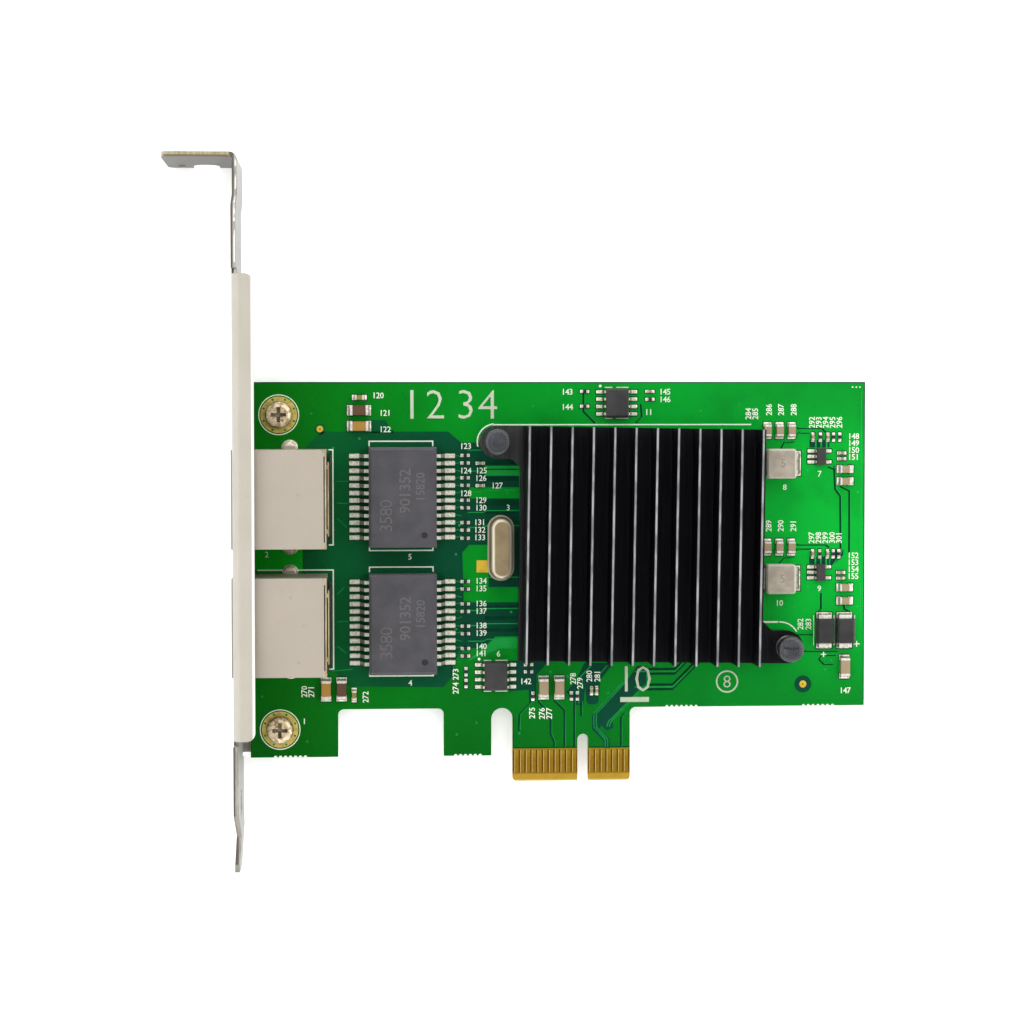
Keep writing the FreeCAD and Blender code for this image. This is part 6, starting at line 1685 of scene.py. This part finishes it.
class CARD_OT_lead_solder(bpy.types.Operator):
    """Make the solder under the leads of the packages, inductors and diodes"""
    bl_idname = "card.lead_solder"
    bl_label = "Lead solder"

    def execute(self, context):
        joint = settings("card_solder")
        pads, halo, fillets = Shapes(), Shapes(), []
        for node in sorted(NODES):
            if not node.endswith(("_leads", "_terminals")) or node.startswith("crystal"):
                continue
            owner = node.rsplit("_", 1)[0]
            kind = owner.split("_")[0]
            body = middle(owner + ("_core" if kind == "inductor" else "_body"))
            upright = kind == "diode"
            past, foot, climb = FEET[kind]
            for centre, extent in islands(node):
                way = 1 if (centre.y > body.y if upright else centre.x > body.x) else -1
                beyond = past + 0.4 if kind == "regulator" and way < 0 else past
                along = extent.y if upright else extent.x
                wide = (extent.x if upright else extent.y) * 1.18 + 0.1
                tip = (centre.y if upright else centre.x) + way * along / 2
                low, high = sorted((tip + way * beyond, tip - way * foot))
                mid, long = (low + high) / 2, high - low
                x, y = (centre.x, mid) if upright else (mid, centre.y)
                flat = (wide, long) if upright else (long, wide)
                pads.pebble(x, y, *flat, PLATED, 0.1, 2)
                margin = 0.24 if kind == "transformer" else 0.34
                halo.pebble(x, y, flat[0] + margin, flat[1] + margin, HALO, 0.16, 2)
                turn = (math.pi / 2 if upright else 0.0) + (0 if way < 0 else math.pi)
                spot = (centre.x, tip + way * past) if upright else (tip + way * past, centre.y)
                fillets.append(((spot[0], spot[1], FACE[1] + 0.02), (0, 0, turn),
                                (past + 0.06, wide * 0.92, climb), 0.0))
        with ReplaceableShapes() as shapes:
            fillet = shapes.shape("lead_fillet_shape", fillet_shape())
            mesh = scatter("lead_fillets", fillet, fillets, finish("solder"), 0.05, joint.seed + 1)
        settle("lead_fillets", mesh, smooth=60)
        settle("lead_pads", pads.mesh("lead_pads"), finish("solder"))
        settle("lead_pad_clearings", halo.mesh("lead_pad_clearings"),
               finish("clearing_mask"))
        return {"FINISHED"}


class CARD_OT_jacks(bpy.types.Operator):
    """Make the rear straps of the jack shields, a painted highlight along each top fold and dark sheets of
    painted shade at the rear seam
    """
    bl_idname = "card.jacks"
    bl_label = "Jacks"

    def execute(self, context):
        seam_shade, folds = Shapes(), Shapes()
        for name in ("lower", "upper"):
            low, high = span(f"jack_{name}_shield")
            lift = high.z - FACE[1]
            skin = (lift - 0.002, lift + 0.01)
            # painted shade: a dark strip just inside each top fold
            seam_shade.slab(high.x - 0.46, low.y + 1.6, high.x - 0.26, high.y - 1.6, skin)
            # painted highlight: a pale strip along each top fold
            folds.slab(high.x - 0.25, low.y + 1.2, high.x - 0.03, high.y - 1.2, (lift - 0.002, lift + 0.02))
            for y in (low.y + 0.8, high.y - 0.8):
                folds.pebble(high.x - 0.4, y, 0.6, 0.62, (lift - 0.002, lift + 0.03), 0.2, 3)
            # the strap that closes the rear, held by two hooks
            folds.slab(high.x + 0.2, low.y + 2.6, high.x + 0.4, high.y - 2.6, (1.0, lift - 0.8))
            for y in (low.y + 3.4, high.y - 3.4):
                folds.slab(high.x - 0.05, y - 0.35, high.x + 0.4, y + 0.35, (lift - 1.6, lift - 0.75))
            # painted shade: dark sheets in the gap between the shield and the strap, and just outside the
            # strap
            seam_shade.slab(high.x - 0.02, low.y + 1.0, high.x + 0.19, high.y - 1.0, (1.0, lift - 1.0))
            seam_shade.slab(high.x + 0.41, low.y + 1.6, high.x + 0.6, high.y - 1.6, (0.9, lift - 3.0))
        settle("jack_seams", seam_shade.mesh("jack_seams"), finish("housing_black"))
        settle("jack_folds", folds.mesh("jack_folds"), finish("bright_fold"))
        return {"FINISHED"}


class CARD_OT_push_pins(bpy.types.Operator):
    """Make the moulded heads of the push pins, and on the lower one a dark strip of painted shade for its
    slot
    """
    bl_idname = "card.push_pins"
    bl_label = "Push pins"

    def execute(self, context):
        for name in ("upper", "lower"):
            low, high = span(f"push_pin_{name}")
            centre = middle(f"push_pin_{name}")
            radius = (high.x - low.x) / 2
            top = high.z
            profile = [(0, top - 0.12), (radius * 0.42, top - 0.09), (radius * 0.5, top - 0.02),
                       (radius * 0.6, top), (radius * 0.68, top - 0.02), (radius * 0.7, top - 0.16),
                       (0, top - 0.2)]
            points, faces = lathe(profile, 32)
            points = [(x + centre.x, y + centre.y, z + 0.03) for x, y, z in points]
            mesh = outward(raw_mesh(f"{name}_crown", points, faces))
            settle(f"push_pin_{name}_crown", mesh, finish("pin_nylon"), 40)
        centre, high = middle("push_pin_lower"), span("push_pin_lower")[1]
        lift = high.z - FACE[1]
        # painted shade: a dark strip stands for the slot
        slot = Shapes()
        slot.ribbon([(centre.x - 1.3, centre.y + 0.3), (centre.x - 0.1, centre.y + 0.1),
                     (centre.x + 1.2, centre.y + 0.15)], 0.34,
                    (lift - 0.1, lift + 0.035))
        settle("push_pin_slot", slot.mesh("push_pin_slot"), finish("housing_black"))
        return {"FINISHED"}


def feet(node):
    """Where a node's pins come out on the solder side, as (x, y, half width) in millimetres."""
    limit = (BOARD_LOW.z - 0.3) * MM
    groups = []
    for vert in NODES[node].data.vertices:
        if vert.co.z > limit:
            continue
        x, y = vert.co.x / MM, vert.co.y / MM
        for group in groups:
            if abs(group[0] - x) < 1.1 and abs(group[1] - y) < 0.75:
                group[2].append((x, y))
                break
        else:
            groups.append([x, y, [(x, y)]])
    found = []
    for _, _, points in groups:
        xs, ys = [p[0] for p in points], [p[1] for p in points]
        found.append(((min(xs) + max(xs)) / 2, (min(ys) + max(ys)) / 2,
                      max(max(xs) - min(xs), max(ys) - min(ys)) / 2))
    return found


class CARD_OT_solder_side(bpy.types.Operator):
    """Finish the solder side: joints, pads, vias, traces and plain numbers"""
    bl_idname = "card.solder_side"
    bl_label = "Solder side"

    def execute(self, context):
        style = settings("card_print")
        trace = settings("card_board").trace / MM
        under = -FACE[-1]
        joints, pads, halo = [], Shapes(-1), Shapes(-1)
        spots = []
        for node in sorted(NODES):
            if node.startswith("jack_") and not node.endswith("_housing") or node == "crystal_leads":
                spots += feet(node)
        for x, y, half in spots:
            radius = max(half + 0.35, 0.55)
            joints.append(((x, y, under), (math.pi, 0, 0), (radius, radius, min(radius, 0.72)), 0.0))
            pads.disc(x, y, radius + 0.16, PLATED, 16)
            halo.disc(x, y, radius + 0.32, HALO, 16)
        with ReplaceableShapes() as shapes:
            joint = shapes.shape("joint_shape", joint_shape())
            mesh = scatter("joints", joint, joints, finish("solder"), 0.08, 11)
        settle("solder_joints", mesh, smooth=50)

        chips = []
        # Places on the board in millimetres, typed in: they don't follow the frame
        for x, y in ((3.0, 36.0), (3.0, 41.0), (3.0, 46.0), (16.6, 36.0), (16.6, 41.0), (16.6, 46.0),
                     (7.0, 31.0), (11.0, 31.0), (7.0, 51.0), (11.0, 51.0), (-18.6, 52.0), (-18.6, 31.0)):
            chips.append((x, y))
        for x, y in chips:
            for way in (-1, 1):
                pads.pebble(x + way * 0.62, y, 0.6, 0.62, PLATED, 0.1, 2)
            halo.pebble(x, y, 2.2, 0.95, HALO, 0.2, 2)
        for name in ("lower", "upper"):
            screw = middle(f"bracket_screw_{name}")
            pads.ring(screw.x, screw.y, 3.1, 2.0, PLATED, 40)
        settle("solder_side_pads", pads.mesh("solder_side_pads"), finish("solder"))

        vias = []
        for column in range(5):
            for row_ in range(5):
                vias.append(((6.25 + 1.8 * column, 37.35 + 1.8 * row_, under), (math.pi, 0, 0),
                             (0.3, 0.3, 0.5), 0.0))
        for name in ("lower", "upper"):
            low, high = span(f"transformer_{name}_leads")
            for k in range(6):
                y = low.y + 0.9 + (high.y - low.y - 1.8) * k / 5
                vias.append(((high.x + 1.6 + 0.8 * (k % 2), y, under), (math.pi, 0, 0),
                             (0.28, 0.28, 0.5), 0.0))
        # Places on the board in millimetres, typed in: they don't follow the frame
        for x, y in ((30.6, 62.9), (38.3, 56.9), (38.4, 36.6), (47.9, 49.8), (47.9, 29.9), (27.2, 65.0),
                     (-8.6, 64.8), (-46.6, 63.5), (-21.8, 8.2), (20.4, 63.9), (36.9, 29.9), (24.0, 18.0),
                     (29.5, 17.2), (41.0, 44.6), (41.0, 48.2), (-33.0, 62.4), (-30.0, 14.8)):
            vias.append(((x, y, under), (math.pi, 0, 0), (0.26, 0.26, 0.5), 0.0))
        with ReplaceableShapes() as shapes:
            via = shapes.shape("via_shape", via_shape())
            mesh = scatter("solder_side_vias", via, vias, finish("trace_mask"))
        settle("solder_side_vias", mesh, smooth=50)

        copper = Shapes(-1)
        for name in ("lower", "upper"):
            low, high = span(f"transformer_{name}_leads")
            for k in range(6):
                y = low.y + 0.9 + (high.y - low.y - 1.8) * k / 5
                start = (high.x + 1.6 + 0.8 * (k % 2), y)
                inner = -2.2 + 0.9 * k
                bend = 40.95 + (y - 40.95) * 0.35
                for side in (-0.2, 0.2):
                    halo.ribbon([(start[0], y + side), (-14.5 + 0.9 * k, y + side),
                                 (inner, bend + side), (5.0, bend + side)], 0.14, CLEARED_LINE)
                copper.ribbon([start, (-14.5 + 0.9 * k, y), (inner, bend), (5.0, bend)], trace, COPPER)
        for index, x in enumerate((-9.5, -8.5, -6.5, -5.5, -3.5, 2.5, 3.5, 5.5, 6.5)):
            path = [(x, 5.8), (x, 8.0 + 0.4 * (index % 3)), (x + 1.5, 10.5 + 0.4 * (index % 3)),
                    (x + 1.5, 18.0 + 0.7 * index), (x + 3.5, 20.6 + 0.7 * index)]
            for side in (-0.2, 0.2):
                halo.ribbon([(px + side, py) for px, py in path], 0.14, CLEARED_LINE)
            copper.ribbon(path, trace, COPPER)
        for x, top in ((33.0, 60.5), (36.0, 60.5), (33.0, 40.0), (36.0, 40.0)):
            copper.ribbon([(x, top), (x, top - 6.0), (x + 4.5, top - 10.5), (x + 8.0, top - 10.5)],
                          trace * 2.4, COPPER)
        halo.slab(-48.2, 18.5, -24.0, 60.0, CLEARING)
        for start, end in TONGUE_HALVES:
            halo.ribbon([(start, TONGUE_TOP + 0.14), (end, TONGUE_TOP + 0.14)], 0.22, (0.005, 0.013))
        settle("solder_side_copper", copper.mesh("solder_side_copper"),
               finish("trace_mask"))
        settle("solder_side_clearings", halo.mesh("solder_side_clearings"),
               finish("bare_mask"))

        ink = Shapes(-1)
        tall = style.figure / MM
        for index, (x, y) in enumerate(chips):
            ink.number(str(510 + index), x, y + 1.25, tall, INK)
        for name in ("lower", "upper"):
            screw = middle(f"bracket_screw_{name}")
            ink.ring(screw.x, screw.y, 3.45, 3.25, INK, 48)
            low, high = span(f"jack_{name}_shield")
            ink.ribbon([(high.x, low.y), (high.x, high.y), (BOARD_LOW.x + 0.4, high.y),
                        (BOARD_LOW.x + 0.4, low.y), (high.x, low.y)], 0.18, INK)
        ink.number("6", -30.8, 64.6, 2.6, INK)
        ink.number("24", 24.0, 64.6, 2.6, INK)
        settle("solder_side_printing", ink.mesh("solder_side_printing"),
               finish("print_ink"))
        return {"FINISHED"}


class CARD_OT_marks(bpy.types.Operator):
    """Mark the moulded bodies with plain numbers"""
    bl_idname = "card.marks"
    bl_label = "Marks"

    def execute(self, context):
        marks = Shapes()
        rows = (("3580", 2.9, 5.4, 2.1), ("901352", 6.1, 9.6, 1.9), ("15820", 8.7, 10.3, 1.5))
        for name in ("lower", "upper"):
            low, high = span(f"transformer_{name}_body")
            lift = high.z - FACE[1]
            for text, x, y, tall in rows:
                marks.number(text, low.x + x, low.y + y, tall, (lift - 0.001, lift + 0.012), 90)
        settle("transformer_marks", marks.mesh("transformer_marks"), finish("mark_ink"))
        marks = Shapes()
        for name in ("lower", "upper"):
            low, high = span(f"inductor_{name}_core")
            lift = high.z - FACE[1]
            centre = middle(f"inductor_{name}_core")
            marks.number("5", centre.x + 0.2, centre.y + 0.1, 1.4, (lift - 0.001, lift + 0.01))
        settle("inductor_marks", marks.mesh("inductor_marks"), finish("core_mark"))
        return {"FINISHED"}


# ------------------------------------------------------------------ panel and start

MAKING = (CARD_OT_studio, CARD_OT_finishes, CARD_OT_copper, CARD_OT_plating, CARD_OT_printing,
          CARD_OT_chips, CARD_OT_lead_solder, CARD_OT_marks, CARD_OT_jacks, CARD_OT_push_pins,
          CARD_OT_solder_side)


class CARD_PT_making(bpy.types.Panel):
    """The steps that finish the card, in order"""
    bl_label = "Network Interface Card"
    bl_idname = "CARD_PT_making"
    bl_space_type = "VIEW_3D"
    bl_region_type = "UI"
    bl_category = "Card"

    def draw(self, context):
        for group in GROUPS:
            box = self.layout.box()
            values = settings(group)
            for name in type(values).__annotations__:
                box.prop(values, name)
        for step in MAKING:
            self.layout.operator(step.bl_idname)


PROPERTY_GROUPS = dict(zip(GROUPS, (CardStudio, CardBoard, CardPrint, CardSolder, CardMetal, CardSink)))


def register():
    for group in PROPERTY_GROUPS.values():
        bpy.utils.register_class(group)
    for name, group in PROPERTY_GROUPS.items():
        setattr(bpy.types.Scene, name, PointerProperty(type=group))
    for step in MAKING:
        bpy.utils.register_class(step)
    bpy.utils.register_class(CARD_PT_making)


def unregister():
    bpy.utils.unregister_class(CARD_PT_making)
    for step in reversed(MAKING):
        bpy.utils.unregister_class(step)
    for name, group in PROPERTY_GROUPS.items():
        delattr(bpy.types.Scene, name)
        bpy.utils.unregister_class(group)


def main():
    register()
    for step in MAKING:
        family, name = step.bl_idname.split(".")
        getattr(getattr(bpy.ops, family), name)()


if __name__ == "__main__":
    main()
